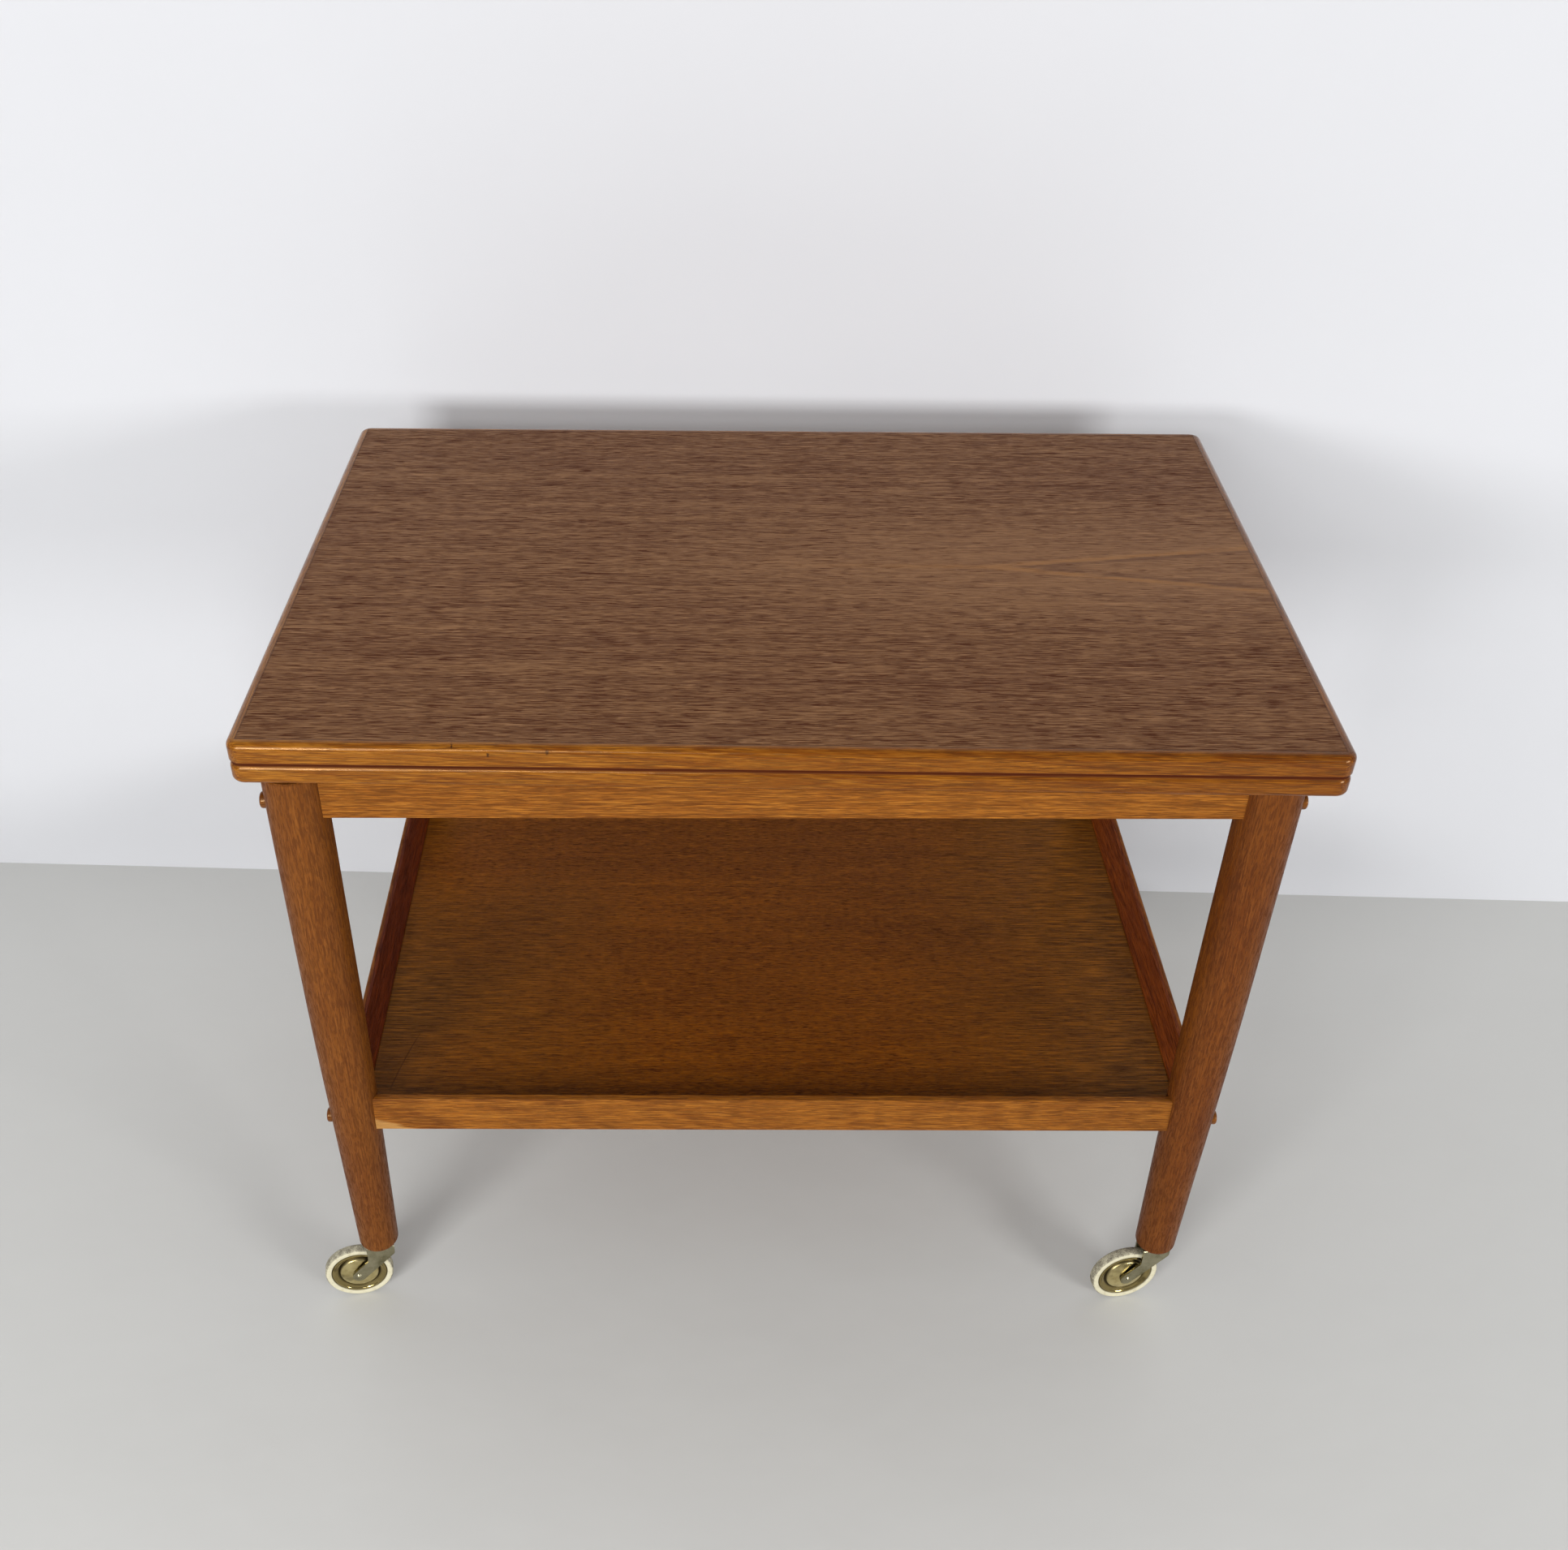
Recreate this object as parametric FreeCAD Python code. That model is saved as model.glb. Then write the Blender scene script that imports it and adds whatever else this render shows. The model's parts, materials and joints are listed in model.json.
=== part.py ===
import FreeCAD, Part
import math
import os

# A tea trolley with a fold-over top, in millimetres. X runs along the long side, Y from front
# to back, Z up. The origin is on the floor under the middle of the trolley.
#
# The top is two equal leaves hinged at their back edges and folded together. The lower leaf
# turns a quarter turn on a pivot that lies off centre, so that the unfolded top ends centred
# on the frame. The folded top stands a little short of its stop, turned slightly from square.

V = FreeCAD.Vector

# ---- overall sizes ----
table_height = 600.0
top_length = 750.0
leaf_depth = 514.0
leaf_thickness = 16.0
leaf_gap = 0.4
# Against its stop the folded top lies this far right of and behind the middle of the frame.
closed_shift_x = 8.2
closed_shift_y = 4.6
# It stands this far from the stop, in degrees, clockwise seen from above.
closed_turn = 1.13
leg_spacing_x = 676.0
leg_spacing_y = 450.0

# ---- leaves ----
edging_width = 7.0
corner_radius = 10.0
arris_radius = 5.5
# The lower arrises are smaller, and nearly sharp on the upper leaf.
lower_leaf_under_arris = 4.0
upper_leaf_under_arris = 1.2

# ---- legs ----
leg_top_radius = 21.6
leg_bend_radius = 21.1
leg_foot_radius = 16.7
leg_bend_height = 318.0
leg_bend_length = 60.0
leg_foot_rounding = 5.0
leg_top_chamfer = 1.0
felt_thickness = 1.0
felt_radius = 9.0
glide_gap = 0.4

# ---- aprons and shelf rails ----
apron_height = 36.4
apron_thickness = 20.0
rail_bottom = 215.0
rail_height = 34.5
rail_thickness = 18.0
rail_lip = 6.0
rail_land = 1.5
rail_arris = 1.0
shelf_level = 231.0
shelf_thickness = 9.0
shelf_groove_depth = 2.8
groove_clearance = 0.2
glue_line = 0.1
peg_radius = 6.0
peg_proud = 4.0
peg_dome = 0.6
peg_end_rounding = 1.5
peg_below_middle = 9.1
peg_in_rail = 30.0
peg_clearance = 0.05
tenon_thickness = 8.0
tenon_shoulder = 6.0
tenon_depth = 10.0
tenon_clearance = 0.2

# ---- casters ----
wheel_radius = 29.5
wheel_disc_radius = 24.3
tyre_width = 9.5
tyre_tread_width = 6.4
tyre_shoulder = 1.7
tyre_seat_width = 8.0
hub_width = 12.0
hub_radius = 5.0
disc_step_radius = 17.6
disc_step_height = 1.2
disc_rim_width = 7.6
caster_trail = 22.0
crown_clearance = 4.2
fork_sheet = 1.8
fork_side_clearance = 0.6
fork_bend = 3.5
fork_neck = 12.0
fork_arm_radius = 5.8
fork_arm_rake = 45.0
fork_corner = 5.0
axle_radius = 2.2
axle_head_radius = 3.1
axle_head_height = 1.2
stem_radius = 4.0
stem_neck_radius = 3.0
stem_head_radius = 4.6
stem_head_height = 1.2
stem_length = 33.0
stem_chamfer = 1.0
thrust_gap = 0.3
socket_radius = 5.5
socket_flange_radius = 11.5
socket_flange = 1.2
socket_end_gap = 2.0
running_clearance = 0.05
# Which way each caster trails, in degrees from +X. The front pair stands turned to the left.
caster_angles = {"front_left": 190.0, "front_right": 190.0, "rear_left": 10.0, "rear_right": 10.0}

# ---- pivot of the top ----
board_width = 90.0
board_thickness = 18.0
board_housing = 6.0
cleat_height = 16.0
cleat_depth = 20.0
bush_radius = 7.0
bush_flange_radius = 12.0
bush_flange = 1.0
pivot_felt_radius = 32.0
stud_radius = 5.0
pivot_plate_radius = 35.0
pivot_plate_thickness = 3.0
pivot_screw_circle = 25.0
washer_radius = 12.0
washer_thickness = 2.0
washer_gap = 0.3
nut_flats = 17.0
nut_height = 8.0
stud_end = 2.0
stop_radius = 6.0
stop_drop = 15.0
stop_in_leaf = 8.0
stop_gap = 0.3

# ---- hinges ----
hinge_count = 3
hinge_pitch = 260.0
hinge_length = 50.0
hinge_plate_height = 11.0
hinge_sheet = 1.5
knuckle_radius = 2.5
knuckle_count = 5
knuckle_gap = 0.3
hinge_pin_radius = 1.2
hinge_pin_tip = 1.0
hinge_edge_gap = 0.25
mortise_clearance = 0.1

# ---- screws: length, shank radius, head radius, head height ----
cleat_screw = (28.0, 2.0, 4.0, 2.4)
plate_screw = (12.0, 2.0, 4.0, 2.4)
hinge_screw = (12.0, 1.5, 2.9, 1.2)
screw_tip = 3.0
screw_clearance = 0.05
hinge_screw_pitch = 17.0
hinge_screw_height = 6.9

# ---- levels and places that follow from the sizes above ----
upper_leaf_bottom = table_height - leaf_thickness
lower_leaf_top = upper_leaf_bottom - leaf_gap
lower_leaf_bottom = lower_leaf_top - leaf_thickness
hinge_level = (upper_leaf_bottom + lower_leaf_top) / 2
frame_top = lower_leaf_bottom - glide_gap - felt_thickness
apron_bottom = frame_top - apron_height
crown_bottom = 2 * wheel_radius + crown_clearance
crown_top = crown_bottom + fork_sheet
leg_foot = crown_top + thrust_gap + socket_flange
rail_top = rail_bottom + rail_height
apron_middle = (apron_bottom + frame_top) / 2
rail_middle = rail_bottom + rail_height / 2
apron_peg_level = apron_middle - peg_below_middle
shelf_peg_level = rail_middle - peg_below_middle
fork_inside = hub_width / 2 + fork_side_clearance
fork_outside = fork_inside + fork_sheet

# The leaves are drawn where they lie against the stop.
leaf_left = closed_shift_x - top_length / 2
leaf_right = closed_shift_x + top_length / 2
leaf_front = closed_shift_y - leaf_depth / 2
leaf_back = closed_shift_y + leaf_depth / 2
hinge_y = leaf_back + hinge_edge_gap

# Turned a quarter turn clockwise about this point, the middle of the hinge line comes to the
# middle of the frame.
pivot = V((closed_shift_x - hinge_y) / 2, (closed_shift_x + hinge_y) / 2, 0)

corners = {"front_left": (-1, -1), "front_right": (1, -1), "rear_left": (-1, 1), "rear_right": (1, 1)}


# ---- tools ----

def box(low, high):
    return Part.makeBox(high[0] - low[0], high[1] - low[1], high[2] - low[2], V(*low))


def rod(radius, start, end):
    return Part.makeCylinder(radius, (end - start).Length, start, end - start)


def outline(start, *steps):
    # A closed wire. A step is a point to draw a line to, (middle, end) of an arc or the poles
    # of a curve in a list.
    edges = []
    here = start
    for step in steps:
        if isinstance(step, tuple):
            middle, there = step
            edges.append(Part.Arc(here, middle, there).toShape())
        elif isinstance(step, list):
            there = step[-1]
            curve = Part.BezierCurve()
            curve.setPoles([here] + step)
            edges.append(curve.toShape())
        else:
            there = step
            edges.append(Part.makeLine(here, there))
        here = there
    edges.append(Part.makeLine(here, start))
    return Part.Wire(edges)


def turned(wire):
    # A profile in the XZ plane, drawn towards +X from the axis, turned about Z.
    return Part.Face(wire).revolve(V(0, 0, 0), V(0, 0, 1), 360)


def turned_points(points):
    return turned(outline(*[V(radius, 0, height) for radius, height in points]))


def extruded(wire, along):
    return Part.Face(wire).extrude(along)


def moved(shape, offset):
    copy = shape.copy()
    copy.translate(offset)
    return copy


def spun(shape, degrees):
    copy = shape.copy()
    copy.rotate(V(0, 0, 0), V(0, 0, 1), degrees)
    return copy


def facing(shape, direction):
    # Turns a shape made along +Z so that it points along the direction.
    turn = FreeCAD.Rotation(V(0, 0, 1), direction)
    copy = shape.copy()
    copy.Placement = FreeCAD.Placement(V(0, 0, 0), turn).multiply(copy.Placement)
    return copy


def along_y(shape):
    # Turns a shape made about Z so that its axis lies along Y.
    return facing(shape, V(0, 1, 0))


def rounded_edges(shape, radius, wanted):
    return shape.makeFillet(radius, [edge for edge in shape.Edges if wanted(edge)])


def is_upright(edge):
    low, high = edge.Vertexes[0].Point, edge.Vertexes[-1].Point
    return abs(low.x - high.x) < 1e-6 and abs(low.y - high.y) < 1e-6 and abs(low.z - high.z) > 1e-6


def save(node, *solids):
    shape = solids[0] if len(solids) == 1 else Part.makeCompound(list(solids))
    shape.exportStep("parts/" + node + ".step")


def save_on_top(node, *solids):
    # A piece that turns with the top, brought from the stop to where the top stands.
    placed = [solid.copy() for solid in solids]
    for solid in placed:
        solid.rotate(pivot, V(0, 0, 1), -closed_turn)
    save(node, *placed)


def screw(sizes, grow=0.0):
    # A countersunk screw, or with grow its hole. Its head's flat is at the origin, its tip at -Z.
    length, shank, head, head_height = sizes
    return turned_points([
        (0, 0), (head + grow, 0), (shank + grow, -head_height),
        (shank + grow, screw_tip - length), (0, -length - grow)])


def screws_at(sizes, places, head_direction, grow=0.0):
    one = facing(screw(sizes, grow), head_direction)
    return [moved(one, place) for place in places]


# ---- legs ----

def leg_radius(height):
    # Nearly straight above and tapered below, with an easy curve where the two tapers meet.
    above = (leg_top_radius - leg_bend_radius) / (frame_top - leg_bend_height)
    below = (leg_bend_radius - leg_foot_radius) / (leg_bend_height - leg_foot)
    away = height - leg_bend_height
    if away >= leg_bend_length:
        return leg_bend_radius + away * above
    if away <= -leg_bend_length:
        return leg_bend_radius + away * below
    share = (away + leg_bend_length) / (2 * leg_bend_length)
    start = leg_bend_radius - leg_bend_length * below
    end = leg_bend_radius + leg_bend_length * above
    return (1 - share) ** 2 * start + 2 * share * (1 - share) * leg_bend_radius + share ** 2 * end


def leg_side(allowance=0.0):
    # The steps of an outline from the lower taper to the upper one.
    low = leg_bend_height - leg_bend_length
    high = leg_bend_height + leg_bend_length
    return [V(leg_radius(low) + allowance, 0, low),
            [V(leg_bend_radius + allowance, 0, leg_bend_height), V(leg_radius(high) + allowance, 0, high)]]


def leg_axis(corner):
    side_x, side_y = corners[corner]
    return V(side_x * leg_spacing_x / 2, side_y * leg_spacing_y / 2, 0)


def leg_cutter(allowance):
    # The leg with an allowance all round, to cope rails and notch the shelf.
    solid = turned(outline(
        V(0, 0, leg_foot), V(leg_foot_radius + allowance, 0, leg_foot), *leg_side(allowance),
        V(leg_top_radius + allowance, 0, frame_top), V(0, 0, frame_top)))
    return [moved(solid, leg_axis(corner)) for corner in corners]


def mortise(level, height):
    # Opens towards +Y, where the side rail comes in.
    half = tenon_thickness / 2 + tenon_clearance
    surface = leg_radius(level)
    return box((-half, surface - tenon_depth - tenon_clearance, level - height / 2 - tenon_clearance),
               (half, surface + leg_top_radius, level + height / 2 + tenon_clearance))


def build_legs():
    foot_side = leg_foot_rounding * math.sin(math.radians(45))
    foot_low = leg_foot_rounding * (1 - math.sin(math.radians(45)))
    inner = leg_foot_radius - leg_foot_rounding
    profile = outline(
        V(0, 0, leg_foot), V(inner, 0, leg_foot),
        (V(inner + foot_side, 0, leg_foot + foot_low),
         V(leg_radius(leg_foot + leg_foot_rounding), 0, leg_foot + leg_foot_rounding)),
        *leg_side(), V(leg_radius(frame_top - leg_top_chamfer), 0, frame_top - leg_top_chamfer),
        V(leg_top_radius - leg_top_chamfer, 0, frame_top), V(0, 0, frame_top))
    leg = turned(profile)
    for level in (apron_peg_level, shelf_peg_level):
        reach = 2 * leg_top_radius
        leg = leg.cut(rod(peg_radius + peg_clearance, V(-reach, 0, level), V(reach, 0, level)))
    leg = leg.cut(mortise(apron_middle, apron_height - 2 * tenon_shoulder))
    leg = leg.cut(mortise(rail_middle, rail_height - 2 * tenon_shoulder))
    socket_hole = leg_foot + stem_length + socket_end_gap
    leg = leg.cut(rod(socket_radius + peg_clearance, V(0, 0, leg_foot - 1), V(0, 0, socket_hole)))
    for corner, (side_x, side_y) in corners.items():
        turned_leg = leg if side_y < 0 else spun(leg, 180)
        save(corner + "_leg", moved(turned_leg, leg_axis(corner)))


def build_pegs(node, level):
    # Round through tenons: glued in the ends of the front and rear rails, rounded outside.
    surface = leg_spacing_x / 2 + leg_radius(level)
    inner = leg_spacing_x / 2 - leg_radius(level) - peg_in_rail
    length = surface + peg_proud - inner
    face_radius = peg_radius - peg_end_rounding
    face = length - peg_dome
    side_end = face - peg_end_rounding
    turn_out = peg_end_rounding * math.sin(math.radians(45))
    dome_radius = (face_radius ** 2 + peg_dome ** 2) / (2 * peg_dome)
    halfway = face_radius / 2
    bulge = length - dome_radius + math.sqrt(dome_radius ** 2 - halfway ** 2)
    peg = turned(outline(V(0, 0, 0), V(peg_radius, 0, 0), V(peg_radius, 0, side_end),
                         (V(face_radius + turn_out, 0, side_end + turn_out), V(face_radius, 0, face)),
                         (V(halfway, 0, bulge), V(0, 0, length))))
    pegs = []
    for corner, (side_x, side_y) in corners.items():
        one = facing(peg, V(side_x, 0, 0))
        pegs.append(moved(one, V(side_x * inner, side_y * leg_spacing_y / 2, level)))
    save(node, *pegs)


# ---- aprons and shelf ----

def peg_holes(level):
    holes = []
    inner = leg_spacing_x / 2 - leg_radius(level) - peg_in_rail
    for side_x, side_y in corners.values():
        y = side_y * leg_spacing_y / 2
        holes.append(rod(peg_radius + peg_clearance, V(side_x * inner, y, level),
                         V(side_x * leg_spacing_x / 2, y, level)))
    return holes


def tenon_core(side_x, level, height):
    # What is left of a side rail inside the front and rear legs: its stub tenons.
    x = side_x * leg_spacing_x / 2
    half_x = tenon_thickness / 2
    half_y = leg_spacing_y / 2 - leg_radius(level) + tenon_depth
    return box((x - half_x, -half_y, level - height / 2), (x + half_x, half_y, level + height / 2))


def apron_section():
    # In the YZ plane, outer face towards -Y, with eased lower arrises.
    half = apron_thickness / 2
    ease = rail_arris
    return outline(
        V(0, -half + ease, apron_bottom), V(0, half - ease, apron_bottom),
        V(0, half, apron_bottom + ease), V(0, half, frame_top), V(0, -half, frame_top),
        V(0, -half, apron_bottom + ease))


def rail_section():
    # In the YZ plane, outer face towards -Y. The inner face slopes from the shelf to a thin lip,
    # and the shelf lies in a groove under the slope.
    half = rail_thickness / 2
    ease = rail_arris
    groove_top = shelf_level
    groove_bottom = shelf_level - shelf_thickness - groove_clearance
    lip_inside = -half + rail_lip
    return outline(
        V(0, -half + ease, rail_bottom), V(0, half - ease, rail_bottom),
        V(0, half, rail_bottom + ease), V(0, half, groove_bottom),
        V(0, half - shelf_groove_depth, groove_bottom), V(0, half - shelf_groove_depth, groove_top),
        V(0, half, groove_top), V(0, half, groove_top + rail_land),
        V(0, lip_inside, rail_top), V(0, -half + ease, rail_top), V(0, -half, rail_top - ease),
        V(0, -half, rail_bottom + ease))


def rail_run(section, length):
    return moved(extruded(section, V(length, 0, 0)), V(-length / 2, 0, 0))


def build_rails(names, section, peg_level, tenon_level, tenon_height, cuts):
    # Four rails round the frame: front and rear on pegs, left and right on stub tenons.
    legs = leg_cutter(glue_line)
    long_rail = rail_run(section, leg_spacing_x)
    short_rail = rail_run(section, leg_spacing_y)
    for side, turn in (("front", 0), ("rear", 180)):
        side_y = -1 if side == "front" else 1
        rail = moved(spun(long_rail, turn), V(0, side_y * leg_spacing_y / 2, 0))
        rail = rail.cut(legs + peg_holes(peg_level) + cuts)
        save(side + names, rail)
    for side, turn in (("right", 90), ("left", -90)):
        side_x = 1 if side == "right" else -1
        rail = moved(spun(short_rail, turn), V(side_x * leg_spacing_x / 2, 0, 0))
        inside_legs = rail.common(tenon_core(side_x, tenon_level, tenon_height))
        save(side + names, rail.cut(legs).fuse(inside_legs).removeSplitter())


def build_shelf_panel():
    reach = rail_thickness / 2 - shelf_groove_depth + groove_clearance
    half_x = leg_spacing_x / 2 - reach
    half_y = leg_spacing_y / 2 - reach
    panel = box((-half_x, -half_y, shelf_level - shelf_thickness), (half_x, half_y, shelf_level))
    save("shelf_panel", panel.cut(leg_cutter(groove_clearance)))


def build_felt_pads():
    pads = []
    for corner in corners:
        low = leg_axis(corner) + V(0, 0, frame_top)
        pads.append(rod(felt_radius, low, low + V(0, 0, felt_thickness)))
    low = pivot + V(0, 0, frame_top)
    ring = rod(pivot_felt_radius, low, low + V(0, 0, felt_thickness))
    pads.append(ring.cut(rod(bush_flange_radius + peg_clearance, low, low + V(0, 0, felt_thickness))))
    save("felt_pads", *pads)


# ---- pivot of the top ----

board_bottom = frame_top - board_thickness
apron_inside = leg_spacing_y / 2 - apron_thickness / 2


def board_blank(allowance):
    half = board_width / 2 + allowance
    reach = apron_inside + board_housing + allowance
    return box((pivot.x - half, -reach, board_bottom - allowance), (pivot.x + half, reach, frame_top))


def cleat_screw_places():
    low = board_bottom - cleat_height
    y = apron_inside - cleat_depth / 2
    step = board_width / 4
    return [V(pivot.x + side_x * step, side_y * y, low) for side_x in (-1, 1) for side_y in (-1, 1)]


def build_pivot_in_frame():
    low = pivot + V(0, 0, board_bottom)
    high = pivot + V(0, 0, frame_top)
    rise = V(0, 0, bush_flange)
    holes = screws_at(cleat_screw, cleat_screw_places(), V(0, 0, -1), screw_clearance)
    board = board_blank(0).cut(rod(bush_radius + peg_clearance, low, high))
    save("pivot_board", board.cut(holes))
    bush = rod(bush_radius, low, high).fuse(rod(bush_flange_radius, high, high + rise))
    bush = bush.removeSplitter().cut(rod(stud_radius + running_clearance, low, high + rise))
    save("pivot_bush", bush)
    cleats = []
    for side_y in (-1, 1):
        near = min(side_y * apron_inside, side_y * (apron_inside - cleat_depth))
        cleat = box((pivot.x - board_width / 2, near, board_bottom - cleat_height),
                    (pivot.x + board_width / 2, near + cleat_depth, board_bottom))
        cleats.append(cleat.cut(holes))
    save("pivot_cleats", *cleats)
    save("cleat_screws", *screws_at(cleat_screw, cleat_screw_places(), V(0, 0, -1)))


stop_offset = board_width / 2 + stop_radius + stop_gap
stop_place = pivot + V(stop_offset, stop_offset, lower_leaf_bottom)


def plate_screw_places():
    places = []
    for step in range(4):
        angle = math.radians(45 + 90 * step)
        reach = V(pivot_screw_circle * math.cos(angle), pivot_screw_circle * math.sin(angle), 0)
        places.append(pivot + reach + V(0, 0, lower_leaf_bottom))
    return places


def build_pivot_on_leaf():
    face = pivot + V(0, 0, lower_leaf_bottom)
    washer_top = pivot + V(0, 0, board_bottom - washer_gap)
    washer_low = washer_top - V(0, 0, washer_thickness)
    nut_low = washer_low - V(0, 0, nut_height)
    holes = screws_at(plate_screw, plate_screw_places(), V(0, 0, -1), screw_clearance)
    disc = rod(pivot_plate_radius, face, face + V(0, 0, pivot_plate_thickness))
    stud = rod(stud_radius, nut_low - V(0, 0, stud_end), face + V(0, 0, pivot_plate_thickness))
    save_on_top("pivot_plate", disc.cut(holes).fuse(stud).removeSplitter())
    save_on_top("pivot_plate_screws", *screws_at(plate_screw, plate_screw_places(), V(0, 0, -1)))
    hole = rod(stud_radius + running_clearance, nut_low, washer_top)
    save_on_top("pivot_washer", rod(washer_radius, washer_low, washer_top).cut(hole))
    flats = nut_flats / 2 / math.cos(math.radians(30))
    points = [V(flats * math.cos(math.radians(60 * k)), flats * math.sin(math.radians(60 * k)), 0)
              for k in range(6)]
    nut = moved(extruded(outline(*points), V(0, 0, nut_height)), nut_low)
    save_on_top("pivot_nut", nut.cut(hole))
    end = stop_place + V(0, 0, stop_in_leaf)
    save_on_top("turn_stop", rod(stop_radius, stop_place - V(0, 0, stop_drop), end))


# ---- hinges ----

def hinge_centres():
    first = closed_shift_x - hinge_pitch * (hinge_count - 1) / 2
    return [V(first + hinge_pitch * k, hinge_y, hinge_level) for k in range(hinge_count)]


def knuckles(which):
    # X ranges of the knuckles of one leaf of a hinge: 0 for the lower leaf, 1 for the upper.
    length = (hinge_length - knuckle_gap * (knuckle_count - 1)) / knuckle_count
    starts = [-hinge_length / 2 + k * (length + knuckle_gap) for k in range(which, knuckle_count, 2)]
    return [(start, start + length) for start in starts]


def hinge_screw_places(centre, up):
    y = -knuckle_radius + hinge_sheet
    return [centre + V(step * hinge_screw_pitch, y, up * hinge_screw_height) for step in (-1, 0, 1)]


def hinge_plate(which, up):
    # One plate of a butt hinge about the origin. up is 1 for the upper leaf, -1 for the lower.
    outer = -knuckle_radius
    half = hinge_length / 2
    z_range = sorted((0, up * hinge_plate_height))
    plate = box((-half, outer, z_range[0]), (half, outer + hinge_sheet, z_range[1]))
    room = knuckle_radius + knuckle_gap
    for start, end in knuckles(1 - which):
        gap = box((start - knuckle_gap, -room, -room), (end + knuckle_gap, room, room))
        plate = plate.cut(gap)
    for start, end in knuckles(which):
        plate = plate.fuse(rod(knuckle_radius, V(start, 0, 0), V(end, 0, 0)))
    bore = rod(hinge_pin_radius + running_clearance, V(-half - 1, 0, 0), V(half + 1, 0, 0))
    return plate.removeSplitter().cut(bore)


def build_hinges():
    half = hinge_length / 2
    for name, which, up in (("lower", 0, -1), ("upper", 1, 1)):
        plates = []
        screws = []
        for centre in hinge_centres():
            places = hinge_screw_places(centre, up)
            holes = screws_at(hinge_screw, places, V(0, 1, 0), screw_clearance)
            plates.append(moved(hinge_plate(which, up), centre).cut(holes))
            screws += screws_at(hinge_screw, places, V(0, 1, 0))
        save_on_top(name + "_hinge_plates", *plates)
        save_on_top(name + "_hinge_screws", *screws)
    tip = hinge_pin_tip
    pin = turned_points([
        (0, -half - tip), (hinge_pin_radius / 2, -half - tip), (hinge_pin_radius, -half),
        (hinge_pin_radius, half), (hinge_pin_radius / 2, half + tip), (0, half + tip)])
    pin = facing(pin, V(1, 0, 0))
    save_on_top("hinge_pins", *[moved(pin, centre) for centre in hinge_centres()])


def hinge_mortises(up):
    # What is cut from a leaf for the plates, the barrel and the screws.
    cuts = []
    half = hinge_length / 2 + mortise_clearance
    depth = -knuckle_radius
    z_range = sorted((0, up * (hinge_plate_height + mortise_clearance)))
    barrel = half + hinge_pin_tip + knuckle_gap
    for centre in hinge_centres():
        pocket = box((-half, depth, z_range[0]), (half, knuckle_radius, z_range[1]))
        cuts.append(moved(pocket, centre))
        cuts.append(rod(knuckle_radius + knuckle_gap, centre - V(barrel, 0, 0), centre + V(barrel, 0, 0)))
        cuts += screws_at(hinge_screw, hinge_screw_places(centre, up), V(0, 1, 0), screw_clearance)
    return cuts


# ---- leaves ----

def leaf_blank(bottom, joint_level, under_arris):
    # A leaf with rounded corners and arrises, left square where the two leaves meet at the back.
    top = bottom + leaf_thickness
    blank = box((leaf_left, leaf_front, bottom), (leaf_right, leaf_back, top))
    blank = rounded_edges(blank, corner_radius, is_upright)
    blank = rounded_edges(blank, arris_radius, lambda edge: edge.BoundBox.ZMin > top - 1e-6)
    blank = rounded_edges(blank, under_arris, lambda edge: edge.BoundBox.ZMax < bottom + 1e-6)
    joint_arris = under_arris if joint_level == bottom else arris_radius
    inward = joint_arris if joint_level == bottom else -joint_arris
    z_range = sorted((joint_level, joint_level + inward))
    square = box((leaf_left + corner_radius, leaf_back - joint_arris, z_range[0]),
                 (leaf_right - corner_radius, leaf_back, z_range[1]))
    return blank.fuse(square).removeSplitter()


def mitred(ring, bottom):
    # The edging as four strips that meet in mitres.
    out = edging_width
    deep = 2 * edging_width
    rise = V(0, 0, leaf_thickness)
    strips = []
    left, right = leaf_left, leaf_right
    sides = (
        ((left - out, leaf_front - out), (right + out, leaf_front - out),
         (right - deep, leaf_front + deep), (left + deep, leaf_front + deep)),
        ((left - out, leaf_back + out), (right + out, leaf_back + out),
         (right - deep, leaf_back - deep), (left + deep, leaf_back - deep)),
        ((left - out, leaf_front - out), (left + deep, leaf_front + deep),
         (left + deep, leaf_back - deep), (left - out, leaf_back + out)),
        ((right + out, leaf_front - out), (right - deep, leaf_front + deep),
         (right - deep, leaf_back - deep), (right + out, leaf_back + out)))
    for points in sides:
        wedge = extruded(outline(*[V(x, y, bottom) for x, y in points]), rise)
        strips += ring.common(wedge).Solids
    return strips


def build_leaf(name, bottom, joint_level, under_arris, cuts):
    core = box((leaf_left + edging_width, leaf_front + edging_width, bottom),
               (leaf_right - edging_width, leaf_back - edging_width, bottom + leaf_thickness))
    ring = leaf_blank(bottom, joint_level, under_arris).cut(core)
    save_on_top(name + "_leaf_panel", core.cut(cuts))
    save_on_top(name + "_leaf_edging", *[strip.cut(cuts) for strip in mitred(ring, bottom)])


def build_leaves():
    face = pivot + V(0, 0, lower_leaf_bottom)
    plate_seat = rod(pivot_plate_radius + mortise_clearance, face - V(0, 0, 1),
                     face + V(0, 0, pivot_plate_thickness))
    stop_seat = rod(stop_radius + peg_clearance, stop_place - V(0, 0, 1),
                    stop_place + V(0, 0, stop_in_leaf))
    screw_holes = screws_at(plate_screw, plate_screw_places(), V(0, 0, -1), screw_clearance)
    build_leaf("lower", lower_leaf_bottom, lower_leaf_top, lower_leaf_under_arris,
               hinge_mortises(-1) + [plate_seat, stop_seat] + screw_holes)
    build_leaf("upper", upper_leaf_bottom, upper_leaf_bottom, upper_leaf_under_arris,
               hinge_mortises(1))


# ---- casters ----

def wheel_level(shape):
    # Lifts a wheel part made about Y to the axle, behind the stem by the trail.
    return moved(shape, V(caster_trail, 0, wheel_radius))


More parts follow.
